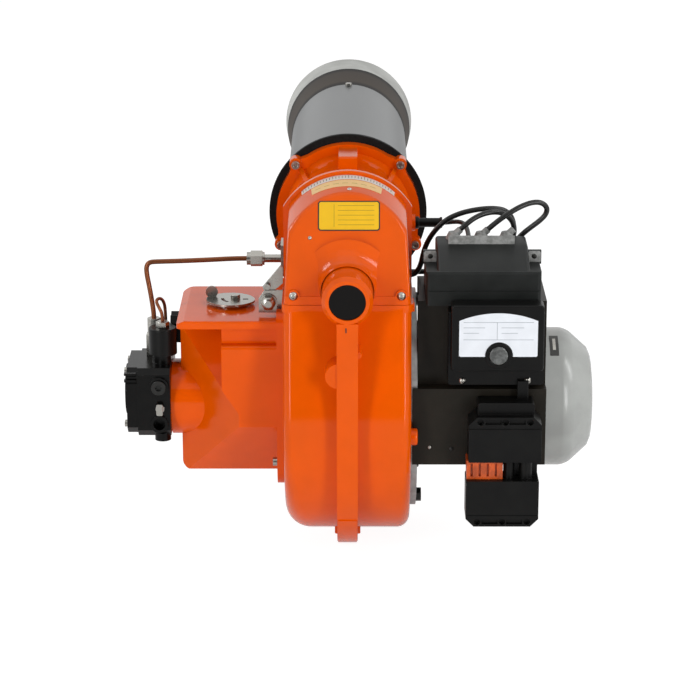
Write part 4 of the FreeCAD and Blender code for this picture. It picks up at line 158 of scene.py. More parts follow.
def grain(tree, shader, size, depth, detail=2.0):
    """Bump from noise whose lumps are size wide and depth high, in metres."""
    place = add_node(tree, "ShaderNodeTexCoord")
    noise = add_node(tree, "ShaderNodeTexNoise", [(place.outputs["Object"], "Vector")],
                     Scale=1.0 / size, Detail=detail)
    bump = add_node(tree, "ShaderNodeBump", [(noise.outputs["Fac"], "Height")],
                    Distance=depth, Strength=1.0)
    tree.links.new(bump.outputs["Normal"], shader.inputs["Normal"])


def vary_color(tree, shader, dark, light, size, stretch=(1, 1, 1), detail=4.0):
    """Base colour that drifts between two colours over patches of the given size in metres."""
    place = add_node(tree, "ShaderNodeTexCoord")
    scaled = add_node(tree, "ShaderNodeMapping", [(place.outputs["Object"], "Vector")], Scale=stretch)
    noise = add_node(tree, "ShaderNodeTexNoise", [(scaled.outputs["Vector"], "Vector")],
                     Scale=1.0 / size, Detail=detail)
    color_ramp(tree, shader, noise.outputs["Fac"], ((0.35, dark), (0.65, light)))


def color_ramp(tree, shader, source, stops):
    """Base colour from a value, through (position, colour) stops."""
    ramp = add_node(tree, "ShaderNodeValToRGB", [(source, "Fac")])
    colors = ramp.color_ramp.elements
    while len(colors) < len(stops):
        colors.new(1.0)
    for stop, (spot, color) in zip(colors, stops):
        stop.position = spot
        stop.color = color
    tree.links.new(ramp.outputs["Color"], shader.inputs["Base Color"])


def vary_roughness(tree, shader, smooth, rough, size):
    """Roughness that drifts between two values."""
    place = add_node(tree, "ShaderNodeTexCoord")
    noise = add_node(tree, "ShaderNodeTexNoise", [(place.outputs["Object"], "Vector")],
                     Scale=1.0 / size, Detail=3.0)
    spread = add_node(tree, "ShaderNodeMapRange", [(noise.outputs["Fac"], "Value")],
                      To_Min=smooth, To_Max=rough)
    tree.links.new(spread.outputs["Result"], shader.inputs["Roughness"])


def orange_powder_coat():
    """Glossy powder coat on die-cast aluminium: even colour, faint orange peel, crisp reflections."""
    paint = bpy.context.scene.burner_paint
    base = (*paint.housing, 1.0)
    deep = tuple(c * 0.94 for c in base[:3]) + (1.0,)
    material, tree, shader = new_material("orange_powder_coat", base, 0.0, 0.14, IOR=1.27)
    vary_color(tree, shader, deep, base, 0.03)
    grain(tree, shader, 4 * MM, 0.012 * MM)
    return material


def rolled_steel():
    """Cold-rolled sheet steel in a thin grey heat-resisting coat, with soft reflections."""
    material, tree, shader = new_material("coated_sheet_steel", shade("4E5152"), 0.3, 0.3)
    vary_color(tree, shader, shade("4A4D4E"), shade("545758"), 0.05, stretch=(1, 0.15, 1))
    grain(tree, shader, 0.8 * MM, 0.006 * MM)
    return material


def scaled_steel():
    """Heat-resisting steel after firing: brown and dark grey scale over the rolled surface."""
    material, tree, shader = new_material("heat_stained_steel", shade("2A2622"), 0.0, 0.55, IOR=1.25)
    vary_color(tree, shader, shade("1E1A17"), shade("37322D"), 0.02)
    grain(tree, shader, 1.5 * MM, 0.02 * MM)
    return material


def burnt_band():
    """Heat-resisting steel of the flame head: brown scale, with painted shade, nearly black, along both of
    its seams.
    """
    material, tree, shader = new_material("burnt_brown_steel", shade("2E2822"), 0.0, 0.5,
                                          Specular_IOR_Level=0.12)
    low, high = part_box("flame_head")
    place = add_node(tree, "ShaderNodeTexCoord")
    split = add_node(tree, "ShaderNodeSeparateXYZ", [(place.outputs["Object"], "Vector")])
    along = add_node(tree, "ShaderNodeMapRange", [(split.outputs["Y"], "Value")],
                     From_Min=low[1] + HEAD_SLEEVE * MM, From_Max=high[1])
    # Painted shade: nearly black at both ends of the band, in the gaps where the head meets the tube and
    # the end ring.
    seam_shade = shade("100D0B")
    color_ramp(tree, shader, along.outputs["Result"],
               ((0.0, seam_shade), (0.1, seam_shade), (0.22, shade("3A322A")), (0.8, shade("322B25")), (0.9, seam_shade)))
    grain(tree, shader, 1.5 * MM, 0.02 * MM)
    return material


def pale_steel():
    """Stainless end ring, dulled to an even pale grey by heat."""
    material, tree, shader = new_material("dull_stainless_steel", shade("B2B3AF"), 0.35, 0.5)
    vary_color(tree, shader, shade("A6A7A3"), shade("BCBDB9"), 0.03)
    grain(tree, shader, 1.0 * MM, 0.01 * MM)
    return material


def zinc_plate():
    """Zinc plate on turned and pressed steel: bright and dark reflections, a little dull."""
    material, tree, shader = new_material("zinc_plated_steel", shade("A09E98"), 1.0, 0.26)
    vary_roughness(tree, shader, 0.24, 0.32, 8 * MM)
    return material


def copper_tube():
    """Drawn copper tube under a brown film, with one clear line of light along it."""
    material, tree, shader = new_material("drawn_copper", shade("74432A"), 0.85, 0.34)
    vary_color(tree, shader, shade("6E4026"), shade("7A462B"), 0.06, detail=1.0)
    return material


def yellow_brass():
    """Turned yellow brass."""
    material, tree, shader = new_material("turned_brass", shade("C9A24E"), 1.0, 0.25)
    vary_roughness(tree, shader, 0.2, 0.35, 2 * MM)
    return material


def black_sheet():
    """Folded sheet steel in satin black powder coat, a little warm."""
    material, tree, shader = new_material("satin_black_powder_coat", shade("1C1913"), 0.0, 0.4, IOR=1.25)
    vary_color(tree, shader, shade("191610"), shade("201C16"), 0.03)
    grain(tree, shader, 1.2 * MM, 0.015 * MM)
    return material


def black_casting():
    """Black painted die casting with a fine sand texture."""
    material, tree, shader = new_material("black_painted_casting", shade("050505"), 0.0, 0.26, IOR=1.25)
    vary_color(tree, shader, shade("030303"), shade("080807"), 0.01)
    grain(tree, shader, 0.9 * MM, 0.03 * MM, detail=4.0)
    return material


def black_moulding():
    """Moulded black polyamide with a fine spark-eroded texture."""
    material, tree, shader = new_material("moulded_black_polyamide", shade("090909"), 0.0, 0.34, IOR=1.25)
    vary_color(tree, shader, shade("070707"), shade("0D0D0C"), 0.02)
    grain(tree, shader, 0.6 * MM, 0.01 * MM)
    return material


def graphite_moulding():
    """Moulded dark grey polyamide of the transformer's case."""
    material, tree, shader = new_material("moulded_graphite_polyamide", shade("181A19"), 0.0, 0.42,
                                          IOR=1.25)
    vary_color(tree, shader, shade("151716"), shade("1C1E1D"), 0.02)
    grain(tree, shader, 0.6 * MM, 0.01 * MM)
    return material


def grey_moulding():
    """Moulded grey polyamide, slightly dusty."""
    material, tree, shader = new_material("moulded_grey_polyamide", shade("80817F"), 0.0, 0.5)
    vary_color(tree, shader, shade("6E6F6D"), shade("90918F"), 0.004)
    grain(tree, shader, 0.8 * MM, 0.02 * MM)
    return material


def orange_moulding():
    """Moulded orange PBT of the contact block."""
    material, tree, shader = new_material("moulded_orange_pbt", shade("C04A0C"), 0.0, 0.35)
    vary_color(tree, shader, shade("A03E08"), shade("CC5210"), 0.008)
    return material


def smoky_button():
    """Clear polycarbonate button, smoky where the body below shows through."""
    material, tree, shader = new_material("smoky_polycarbonate", shade("4A4C4B"), 0.0, 0.12)
    vary_color(tree, shader, shade("3A3C3B"), shade("626463"), 0.005)
    return material


def dark_glass():
    """Sight glass, painted near black for the unlit inside of the housing that shows through it."""
    # Painted shade: the near-black colour stands for the dark inside of the housing behind clear glass.
    material, tree, shader = new_material("sight_glass", shade("050302"), 0.0, 0.06, IOR=1.25)
    vary_roughness(tree, shader, 0.04, 0.12, 8 * MM)
    return material


def grey_cowl_paint():
    """Grey stove enamel on the pressed motor cowl, even and satin."""
    material, tree, shader = new_material("grey_stove_enamel", shade("A3A5A2"), 0.0, 0.26, IOR=1.45)
    vary_color(tree, shader, shade("9EA09D"), shade("A8AAA7"), 0.03)
    grain(tree, shader, 2.5 * MM, 0.01 * MM)
    return material


def motor_paint():
    """Extruded motor frame in dark grey paint."""
    material, tree, shader = new_material("dark_grey_motor_paint", shade("5A5C5C"), 0.0, 0.42)
    vary_color(tree, shader, shade("545656"), shade("626464"), 0.02)
    return material


def bare_casting():
    """Die-cast aluminium as cast, satin with faint flow marks."""
    material, tree, shader = new_material("bare_die_casting", shade("9A9C9C"), 0.9, 0.42)
    vary_color(tree, shader, shade("8C8E8E"), shade("A6A8A8"), 0.012)
    grain(tree, shader, 1.5 * MM, 0.02 * MM)
    return material


def fibre_gasket():
    """Black woven fibre gasket with a graphite face."""
    material, tree, shader = new_material("graphite_fibre_gasket", shade("080807"), 0.0, 0.75,
                                          Specular_IOR_Level=0.15)
    vary_color(tree, shader, shade("060606"), shade("121211"), 0.003)
    grain(tree, shader, 1.6 * MM, 0.2 * MM)
    return material


def lead_rubber():
    """Silicone-rubber sheath of the leads, satin black."""
    material, tree, shader = new_material("black_silicone_rubber", shade("131312"), 0.0, 0.34, IOR=1.4)
    vary_roughness(tree, shader, 0.28, 0.42, 4 * MM)
    return material


def white_ceramic():
    """Glazed steatite insulators of the electrodes."""
    material, tree, shader = new_material("glazed_steatite", shade("E6E3DA"), 0.0, 0.18)
    vary_color(tree, shader, shade("DEDAD0"), shade("ECEAE2"), 0.01)
    return material


def copper_winding():
    """Enamelled copper wire of the stator."""
    material, tree, shader = new_material("enamelled_copper_wire", shade("8A4A24"), 0.7, 0.35)
    vary_color(tree, shader, shade("6E3A1C"), shade("A05A2E"), 0.002, stretch=(1, 4, 1))
    return material


def printed_foil(name, code):
    """Printed polyester foil of a label, satin and a little worn."""
    material, tree, shader = new_material(name, shade(code), 0.0, 0.35)
    worn = tuple(c * 0.94 for c in shade(code)[:3]) + (1.0,)
    vary_color(tree, shader, worn, shade(code), 0.012)
    return material


def black_oxide():
    """Blackened steel screws."""
    material, tree, shader = new_material("black_oxide_steel", shade("2E2E2D"), 0.8, 0.35)
    vary_roughness(tree, shader, 0.28, 0.45, 2 * MM)
    return material


def seen_by(tree, kinds):
    """1 where a ray of one of the named kinds looks, and 0 elsewhere."""
    path = add_node(tree, "ShaderNodeLightPath")
    result = path.outputs[kinds[0]]
    for kind in kinds[1:]:
        result = add_node(tree, "ShaderNodeMath", [(result, 0), (path.outputs[kind], 1)],
                          operation="MAXIMUM").outputs[0]
    return result


def share_for(tree, kinds, share):
    """A share where a ray of the named kinds looks, and nothing elsewhere."""
    scaled = add_node(tree, "ShaderNodeMath", [(seen_by(tree, kinds), 0)], operation="MULTIPLY")
    scaled.inputs[1].default_value = share
    return scaled.outputs[0]


def white_floor():
    """Pale studio floor that keeps a soft shadow and shows as white elsewhere."""
    material, tree, shader = new_material("studio_floor", shade("F4F4F4"), 0.0, 0.8)
    looked = share_for(tree, ("Is Camera Ray", "Is Transmission Ray"), FLOOR_SEEN)
    mirrored = share_for(tree, ("Is Glossy Ray",), FLOOR_MIRRORED)
    share = add_node(tree, "ShaderNodeMath", [(looked, 0), (mirrored, 1)], operation="MAXIMUM")
    glow = add_node(tree, "ShaderNodeEmission", Color=(1, 1, 1, 1), Strength=FLOOR_GLOW)
    mix = add_node(tree, "ShaderNodeMixShader", [(share.outputs[0], 0), (shader.outputs[0], 1),
                                                 (glow.outputs[0], 2)])
    output = tree.nodes["Material Output"]
    tree.links.new(mix.outputs[0], output.inputs["Surface"])
    return material


def dark_cloth():
    """Matt dark cloth behind the camera, as in a studio: front faces and metal reflect it."""
    material, tree, shader = new_material("dark_studio_cloth", shade("1E1E1E"), 0.0, 1.0, IOR=1.1)
    vary_color(tree, shader, shade("1A1A1A"), shade("222222"), 0.2)
    return material


MAKERS = {
    "orange": orange_powder_coat, "tube": rolled_steel, "scaled": scaled_steel, "band": burnt_band,
    "pale": pale_steel, "zinc": zinc_plate, "copper": copper_tube, "brass": yellow_brass,
    "sheet": black_sheet, "casting": black_casting, "moulding": black_moulding,
    "graphite": graphite_moulding, "grey": grey_moulding, "insert": orange_moulding,
    "button": smoky_button, "glass": dark_glass, "cowl": grey_cowl_paint, "motor": motor_paint,
    "bare": bare_casting, "gasket": fibre_gasket, "rubber": lead_rubber, "ceramic": white_ceramic,
    "winding": copper_winding, "oxide": black_oxide,
}
# The black ink also serves as painted shade: in the cowl's slot, in each lug's hole and in the dimple on
# the housing.
FOILS = {
    "yellow": ("yellow_foil", "E4B40C"), "white": ("white_foil", "DEE2E8"), "ink": ("black_ink", "1A1A16"),
    "beige": ("beige_foil", "E6BC78"), "grey_ink": ("grey_ink", "9AA0A8"),
    "silver": ("silver_foil", "D2D2CC"), "ochre_ink": ("ochre_ink", "A88A10"),
}
MADE = {}


def finish_of(key):
    """The material for a key, made once."""
    if key not in MADE:
        MADE[key] = printed_foil(*FOILS[key]) if key in FOILS else MAKERS[key]()
    return MADE[key]


# Mesh helpers

def add_piece(name, bm, key, body=ROOT, replaces=(), bevel=0.0, segments=2, angle=32.0, flat=False):
    """Turn a bmesh into a finished piece that rides on a body."""
    mesh = bpy.data.meshes.new(name)
    bm.to_mesh(mesh)
    bm.free()
    piece = bpy.data.objects.new(name, mesh)
    bpy.context.scene.collection.objects.link(piece)
    mesh.materials.append(finish_of(key))
    if not flat:
        mesh.shade_smooth()
        mesh.set_sharp_from_angle(angle=math.radians(angle))
    if bevel:
        edge = piece.modifiers.new("edge_round", "BEVEL")
        edge.limit_method = "ANGLE"
        edge.angle_limit = math.radians(angle)
        edge.width = bevel
        edge.segments = segments
        edge.use_clamp_overlap = True
        edge.harden_normals = False
        even = piece.modifiers.new("even_normals", "WEIGHTED_NORMAL")
        even.keep_sharp = True
    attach(piece, body)
    if replaces:
        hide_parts(*replaces)


def add_print(name, bm, key):
    """A printed foil, or the ink on one."""
    add_piece(name, bm, key, flat=True)


def body_of(node):
    """The body that a node rides on."""
    for body, members in frame["record"]["behaviour"]["bodies"].items():
        if node in members:
            return body
    raise RuntimeError("no body for " + node)


def dress(node, key, bevel, segments=2, angle=30.0, shape=None):
    """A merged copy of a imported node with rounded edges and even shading; bevel in millimetres."""
    bm = bmesh.new()
    bm.from_mesh(NODES[node].data)
    bmesh.ops.remove_doubles(bm, verts=bm.verts, dist=2e-6)
    bmesh.ops.dissolve_limit(bm, angle_limit=math.radians(0.3), verts=bm.verts, edges=bm.edges)
    if shape:
        shape(bm)
    add_piece(node + "_skin", bm, key, body_of(node), (node,), bevel * MM, segments, angle)


def soften_cowl(bm):
    """Round the cowl's outer shoulder, where its side meets its cone."""
    y, z = FAN_AXIS
    shoulder = []
    for edge in bm.edges:
        middle = (edge.verts[0].co + edge.verts[1].co) / 2
        across = math.hypot(middle.y - y * MM, middle.z - z * MM)
        level = all(abs(v.co.x - COWL_SHOULDER * MM) < 0.2 * MM for v in edge.verts)
        if level and across > COWL_OUTSIDE * MM:
            shoulder.append(edge)
    bmesh.ops.bevel(bm, geom=shoulder, offset=COWL_ROUND * MM, offset_type="OFFSET", segments=6,
                    profile=0.5, affect="EDGES", material=-1, clamp_overlap=True)


def lower_block(bm):
    """Set the top of the air box's upright block a little further below the lid."""
    for vert in bm.verts:
        near = BLOCK_BAND[0] * MM < vert.co.z < BLOCK_BAND[1] * MM
        if near and vert.co.y < BLOCK_BACK * MM and vert.co.x > BLOCK_SIDE * MM:
            vert.co.z -= BLOCK_DROP * MM


def slab(points, depth, matrix):
    """Plate from an outline in millimetres, extruded along its local Z and placed by a matrix."""
    bm = bmesh.new()
    verts = [bm.verts.new((x * MM, y * MM, 0)) for x, y in points]
    face = bm.faces.new(verts)
    raised = bmesh.ops.extrude_face_region(bm, geom=[face])
    moved = [v for v in raised["geom"] if isinstance(v, bmesh.types.BMVert)]
    bmesh.ops.translate(bm, verts=moved, vec=(0, 0, depth * MM))
    bmesh.ops.recalc_face_normals(bm, faces=bm.faces)
    bmesh.ops.transform(bm, matrix=matrix, verts=bm.verts)
    return bm


def rectangle(left, right, low, high):
    """Outline of a rectangle."""
    return [(left, low), (right, low), (right, high), (left, high)]


def arc(centre, radius, start, end, steps=24):
    """Points along a circle between two angles."""
    turns = [start + (end - start) * i / steps for i in range(steps + 1)]
    return [(centre[0] + radius * math.cos(turn), centre[1] + radius * math.sin(turn)) for turn in turns]


def cut_corners(left, right, low, high, cut):
    """Outline of a rectangle whose corners are cut off."""
    return [(left + cut, low), (right - cut, low), (right, low + cut), (right, high - cut),
            (right - cut, high), (left + cut, high), (left, high - cut), (left, low + cut)]


def join(parts):
    """One bmesh from several."""
    whole = bmesh.new()
    for part in parts:
        mesh = bpy.data.meshes.new("part")
        part.to_mesh(mesh)
        part.free()
        whole.from_mesh(mesh)
        bpy.data.meshes.remove(mesh)
    return whole


def block(low, high):
    """Box between two corners in millimetres."""
    bm = bmesh.new()
    size = [b - a for a, b in zip(low, high)]
    centre = [(a + b) / 2 * MM for a, b in zip(low, high)]
    bmesh.ops.create_cube(bm, size=1.0)
    bmesh.ops.scale(bm, verts=bm.verts, vec=[s * MM for s in size])
    bmesh.ops.translate(bm, verts=bm.verts, vec=centre)
    return bm


def facing(origin, normal, up=(0, 0, 1)):
    """Matrix whose Z is the normal and whose Y leans to up, at an origin in millimetres."""
    z = Vector(normal).normalized()
    x = Vector(up).cross(z).normalized()
    y = z.cross(x)
    turn = Matrix((x, y, z)).transposed().to_4x4()
    return Matrix.Translation(Vector(origin) * MM) @ turn


def surface_of(node):
    """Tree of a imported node's surface that a ray can be dropped on."""
    bm = bmesh.new()
    bm.from_mesh(NODES[node].data)
    tree = BVHTree.FromBMesh(bm)
    bm.free()
    return tree


def drop(bm, tree, shoot, lift, thick):
    """Lay a grid on a surface: shoot gives each vertex its ray; the sheet gets its thickness below."""
    for vert in bm.verts:
        start, direction = shoot(vert.co)
        spot, normal, _, _ = tree.ray_cast(start, direction)
        if spot is None:
            raise RuntimeError("a foil misses its surface")
        if normal.dot(direction) > 0:
            normal = -normal
        vert.co = spot + normal * lift * MM
    bmesh.ops.recalc_face_normals(bm, faces=bm.faces)
    up = sum((face.normal.dot(shoot(face.calc_center_median())[1]) for face in bm.faces), 0.0)
    if up > 0:
        bmesh.ops.reverse_faces(bm, faces=bm.faces)
    bmesh.ops.solidify(bm, geom=bm.faces[:], thickness=thick * MM)
    return bm


def foil(tree, matrix, low, high, lift, columns, rows):
    """Foil between two local corners in millimetres, pressed on a surface along the matrix's Z."""
    bm = bmesh.new()
    bmesh.ops.create_grid(bm, x_segments=columns, y_segments=rows, size=0.5)
    turn = matrix.to_3x3()
    back = turn @ Vector((0, 0, -1))
    for vert in bm.verts:
        x = low[0] + (vert.co.x + 0.5) * (high[0] - low[0])
        y = low[1] + (vert.co.y + 0.5) * (high[1] - low[1])
        vert.co = matrix @ Vector((x * MM, y * MM, 20 * MM))
    return drop(bm, tree, lambda co: (co, back), lift, FOIL)


def band(tree, angles, reach, columns, rows=2, lift=FOIL_LIFT, thick=FOIL):
    """Foil over the vault between two angles from upright and two places along Y, in millimetres."""
    bm = bmesh.new()
    bmesh.ops.create_grid(bm, x_segments=columns, y_segments=rows, size=0.5)
    for vert in bm.verts:
        turn = angles[0] + (vert.co.x + 0.5) * (angles[1] - angles[0])
        along = reach[0] + (vert.co.y + 0.5) * (reach[1] - reach[0])
        ray = Vector((math.sin(math.radians(turn)), 0, math.cos(math.radians(turn))))
        vert.co = (Vector((0, along, VAULT_HEIGHT)) + ray * 150) * MM

    def inward(co):
        """Ray from a grid vertex to the vault's axis."""
        target = Vector((0, co.y, VAULT_HEIGHT * MM))
        return co, (target - co).normalized()
    return drop(bm, tree, inward, lift, thick)


def dome(matrix, radius, height):
    """Low round head on a surface, its base at the matrix's origin; millimetres."""
    bm = bmesh.new()
    bmesh.ops.create_uvsphere(bm, u_segments=24, v_segments=12, radius=1.0)
    lower = [v for v in bm.verts if v.co.z < -0.3]
    bmesh.ops.delete(bm, geom=lower, context="VERTS")
    rim = [e for e in bm.edges if e.is_boundary]
    bmesh.ops.contextual_create(bm, geom=rim)
    bmesh.ops.scale(bm, verts=bm.verts, vec=(radius * MM, radius * MM, height * MM))
    bmesh.ops.transform(bm, matrix=matrix, verts=bm.verts)
    bmesh.ops.recalc_face_normals(bm, faces=bm.faces)
    return bm


def bent_tube(name, node, points, diameter, key):
    """A packed pipe or lead as one smooth closed tube on its own route in millimetres."""
    curve = bpy.data.curves.new(name, "CURVE")
    curve.dimensions = "3D"
    spline = curve.splines.new("NURBS")
    spline.points.add(len(points) - 1)
    for point, place in zip(spline.points, points):
        point.co = (*(Vector(place) * MM), 1.0)
    spline.order_u = 3
    spline.use_endpoint_u = True
    spline.resolution_u = 12
    curve.resolution_u = 12
    curve.bevel_depth = diameter / 2
    curve.bevel_resolution = 8
    curve.use_fill_caps = True
    curve.materials.append(finish_of(key))
    piece = bpy.data.objects.new(name, curve)
    bpy.context.scene.collection.objects.link(piece)
    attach(piece, body_of(node))
    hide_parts(node)
    return piece


def lead(node, points, diameter, length):
    """A free lead on the route of a packed one; points in millimetres. The length is not used."""
    piece = bent_tube(node + "_cord", node, points, diameter, "rubber")


# Settings

class BurnerPaint(bpy.types.PropertyGroup):
    """The colour that a user would change."""
    housing: bpy.props.FloatVectorProperty(
        name="Housing", description="Powder coat of the housing, cover and air box", subtype="COLOR",
        size=3, min=0.0, max=1.0, default=linear("DE5400"))


class BurnerLeads(bpy.types.PropertyGroup):
    """Diameters of the leads and pipes."""
    lead: bpy.props.FloatProperty(
        name="Ignition lead", description="Diameter of the ignition leads", unit="LENGTH", default=5.4 * MM)
    sensor: bpy.props.FloatProperty(
        name="Photocell lead", description="Diameter of the photocell's lead", unit="LENGTH",
        default=5.0 * MM)
    pipe: bpy.props.FloatProperty(
        name="Oil pipe", description="Diameter of the copper pipe", unit="LENGTH", default=5.0 * MM)
    bypass: bpy.props.FloatProperty(
        name="Bypass pipe", description="Diameter of the thin bypass pipe", unit="LENGTH", default=3.4 * MM)


class BurnerStage(bpy.types.PropertyGroup):
    """Camera and lights."""
    lens: bpy.props.FloatProperty(
        name="Lens", description="Focal length in millimetres", default=133.66)
    place: bpy.props.FloatVectorProperty(
        name="Camera place", description="Where the camera stands", subtype="TRANSLATION", size=3,
        default=(0.0056, -2.766, 0.696))
    tilt: bpy.props.FloatProperty(
        name="Camera tilt", description="Turn about X from looking straight down", subtype="ANGLE",
        default=math.radians(72.8))
    pan: bpy.props.FloatProperty(
        name="Camera pan", description="Turn about the upright", subtype="ANGLE", default=0.00125)
    key: bpy.props.FloatProperty(
        name="Front lamps", description="Power of each front lamp", default=27.0)
    rim: bpy.props.FloatProperty(
        name="Side strips", description="Power of each narrow lamp at the sides", default=16.0)
    top: bpy.props.FloatProperty(
        name="Top lamp", description="Power of the lamp above", default=4.0)
    ambient: bpy.props.FloatProperty(
        name="Ambient", description="Strength of the diffuse surroundings", default=0.26)


# Operators

class BURNER_OT_stage(bpy.types.Operator):
    """Camera, lamps, surroundings and floor"""
    bl_idname = "burner.stage"
    bl_label = "Stage"

    def execute(self, context):
        scene = context.scene
        settings = scene.burner_stage
        scene.view_settings.view_transform = "Standard"
        camera = bpy.data.cameras.new("camera")
        camera.lens = settings.lens
        camera.sensor_width = 36.0
        camera.clip_end = 50.0
        eye = bpy.data.objects.new("camera", camera)
        eye.location = settings.place
        eye.rotation_euler = (settings.tilt, 0, settings.pan)
        scene.collection.objects.link(eye)
        scene.camera = eye
        for name, place, target, power, width, height in LAMPS:
            self.lamp(scene, name, place, target, getattr(settings, power), width, height)
        self.surroundings(scene, settings.ambient)
        below = Matrix.Translation((0, 0, CAD_BOX[0][2] - 0.5 * MM))
        self.plane("floor", white_floor(), below, FLOOR_HALF)
        cloth = self.plane("dark_cloth", dark_cloth(), facing(CLOTH_PLACE, (0, 1, 0)), CLOTH_HALF)
        cloth.visible_camera = False
        cloth.visible_diffuse = False
        cloth.visible_shadow = False
        return {"FINISHED"}

    def lamp(self, scene, name, place, target, power, width, height):
        """A rectangular area lamp that faces its target."""
        data = bpy.data.lights.new(name, "AREA")
        data.shape = "RECTANGLE"
        data.size = width
        data.size_y = height
        data.energy = power
        lamp = bpy.data.objects.new(name, data)
        lamp.location = place
        lamp.rotation_euler = (Vector(target) - Vector(place)).to_track_quat("-Z", "Y").to_euler()
        scene.collection.objects.link(lamp)

    def surroundings(self, scene, ambient):
        """White where the camera or a reflection looks, dimmer as a source of diffuse light."""
        world = bpy.data.worlds.new("surroundings")
        scene.world = world
        world.use_nodes = True
        tree = world.node_tree
        sky = tree.nodes["Background"]
        sky.inputs["Color"].default_value = (1, 1, 1, 1)
        seen = seen_by(tree, ("Is Camera Ray", "Is Glossy Ray", "Is Transmission Ray"))
        level = add_node(tree, "ShaderNodeMapRange", [(seen, "Value")], To_Min=ambient, To_Max=1.0)
        tree.links.new(level.outputs["Result"], sky.inputs["Strength"])

    def plane(self, name, material, matrix, half):
        """A large flat sheet that belongs to the stage, given half its side."""
        bm = bmesh.new()
        bmesh.ops.create_grid(bm, x_segments=1, y_segments=1, size=half)
        bmesh.ops.transform(bm, matrix=matrix, verts=bm.verts)
        mesh = bpy.data.meshes.new(name)
        bm.to_mesh(mesh)
        bm.free()
        sheet = bpy.data.objects.new(name, mesh)
        bpy.context.scene.collection.objects.link(sheet)
        mesh.materials.append(material)
        return sheet


class BURNER_OT_castings(bpy.types.Operator):
    """Powder-coated housing, cover and air box with their plated parts"""
    bl_idname = "burner.castings"
    bl_label = "Castings"

    def execute(self, context):
        dress("fan_housing", "orange", 0.8)
        dress("housing_cover", "orange", 0.8)
        dress("air_box", "orange", 1.2, 3, shape=lower_block)
        dress("dome_screws", "zinc", 0.3)
        dress("cap_screws", "zinc", 0.3)
        dress("sight_glass", "glass", 0.2)
        dress("inlet_ring", "zinc", 0.2)
        for node in ("damper_shaft", "damper_blade", "damper_screw", "damper_lever"):
            dress(node, "zinc", 0.3)
        dress("hinge_bracket", "zinc", 0.4)
        dress("hinge_bolt", "zinc", 0.5)
        return {"FINISHED"}


class BURNER_OT_tube(bpy.types.Operator):
    """Blast tube, head, end ring, gasket and what they hold"""
    bl_idname = "burner.tube"
    bl_label = "Tube and head"

    def execute(self, context):
        dress("blast_tube", "tube", 0.4)
        dress("flame_head", "band", 0.4)
        dress("head_end_ring", "pale", 0.8)
        dress("flange_gasket", "gasket", 0.6)
        dress("flange_screws", "zinc", 0.4)
        dress("head_screws", "zinc", 0.3)
        dress("nozzle_line", "zinc", 0.2)
        dress("nozzle_block", "brass", 0.4)
        dress("oil_nozzle", "brass", 0.3)
        dress("flame_disc", "scaled", 0.3)
        dress("electrodes", "ceramic", 0.3)
        return {"FINISHED"}


class BURNER_OT_motor(bpy.types.Operator):
    """Motor, its cowl and the fan"""
    bl_idname = "burner.motor"
    bl_label = "Motor and fan"

    def execute(self, context):
        dress("motor_flange", "bare", 0.6)
        dress("motor_bolts", "oxide", 0.5)
        dress("motor_frame", "motor", 0.4)
        dress("stator", "winding", 0.4)
        dress("motor_cowl", "cowl", 0.4, angle=50.0, shape=soften_cowl)
        dress("fan_wheel", "zinc", 0.2)
        dress("motor_shaft", "zinc", 0.3)
        dress("coupling", "moulding", 0.3)
        dress("cooling_fan", "moulding", 0.3)
        return {"FINISHED"}


class BURNER_OT_pump(bpy.types.Operator):
    """Oil pump, solenoid valve, pipes and their fittings"""
    bl_idname = "burner.pump"
    bl_label = "Pump and pipes"

    def execute(self, context):
        dress("pump_body", "casting", 0.8)
        dress("pump_cover", "casting", 0.8)
        dress("pump_plug", "oxide", 0.4)
        dress("pump_shaft", "zinc", 0.2)
        dress("solenoid_stem", "zinc", 0.3)
        dress("solenoid_coil", "moulding", 0.6)
        dress("valve_connector", "moulding", 0.5)
        dress("pump_fittings", "zinc", 0.3)
        dress("pipe_nut", "zinc", 0.3)
        dress("pipe_nipple", "zinc", 0.2)
        dress("nozzle_side_plate", "zinc", 0.6)
        sizes = context.scene.burner_leads
        bent_tube("copper_pipe_tube", "copper_pipe", (
            (-199, -205, -69), (-199, -205, -58), (-200.5, -204.5, -46), (-203, -203.5, -30),
            (-205.5, -202.5, -17), (-206, -202, -8.5), (-203, -201.5, -3.8), (-194, -201, -3.4),
            (-172, -201, -2.8), (-140, -201, -1.4), (-115, -201, 0), (-102, -201, 0)), sizes.pipe, "copper")
        bent_tube("bypass_pipe_tube", "bypass_pipe", (
            (-187, -205, -70), (-187, -205, -57), (-188, -208, -44), (-192, -214, -38),
            (-195.5, -222, -39), (-192, -228.5, -44), (-188.5, -230, -50.5), (-188.5, -230, -58.3)),
            sizes.bypass, "copper")
        return {"FINISHED"}


class BURNER_OT_controls(bpy.types.Operator):
    """Bracket, control unit, transformer and connectors"""
    bl_idname = "burner.controls"
    bl_label = "Controls"

    def execute(self, context):
        dress("control_bracket", "sheet", 0.6)
        dress("control_base", "moulding", 0.6)
        dress("control_box", "moulding", 0.5)
        dress("reset_button", "button", 0.4)
        dress("ignition_transformer", "graphite", 0.8)
        dress("transformer_bushes", "grey", 0.6)
        dress("socket_connector", "moulding", 0.8)
        dress("plug_connector", "moulding", 0.8)
        dress("connector_insert", "insert", 0.4)
        dress("photocell", "moulding", 0.5)
        return {"FINISHED"}


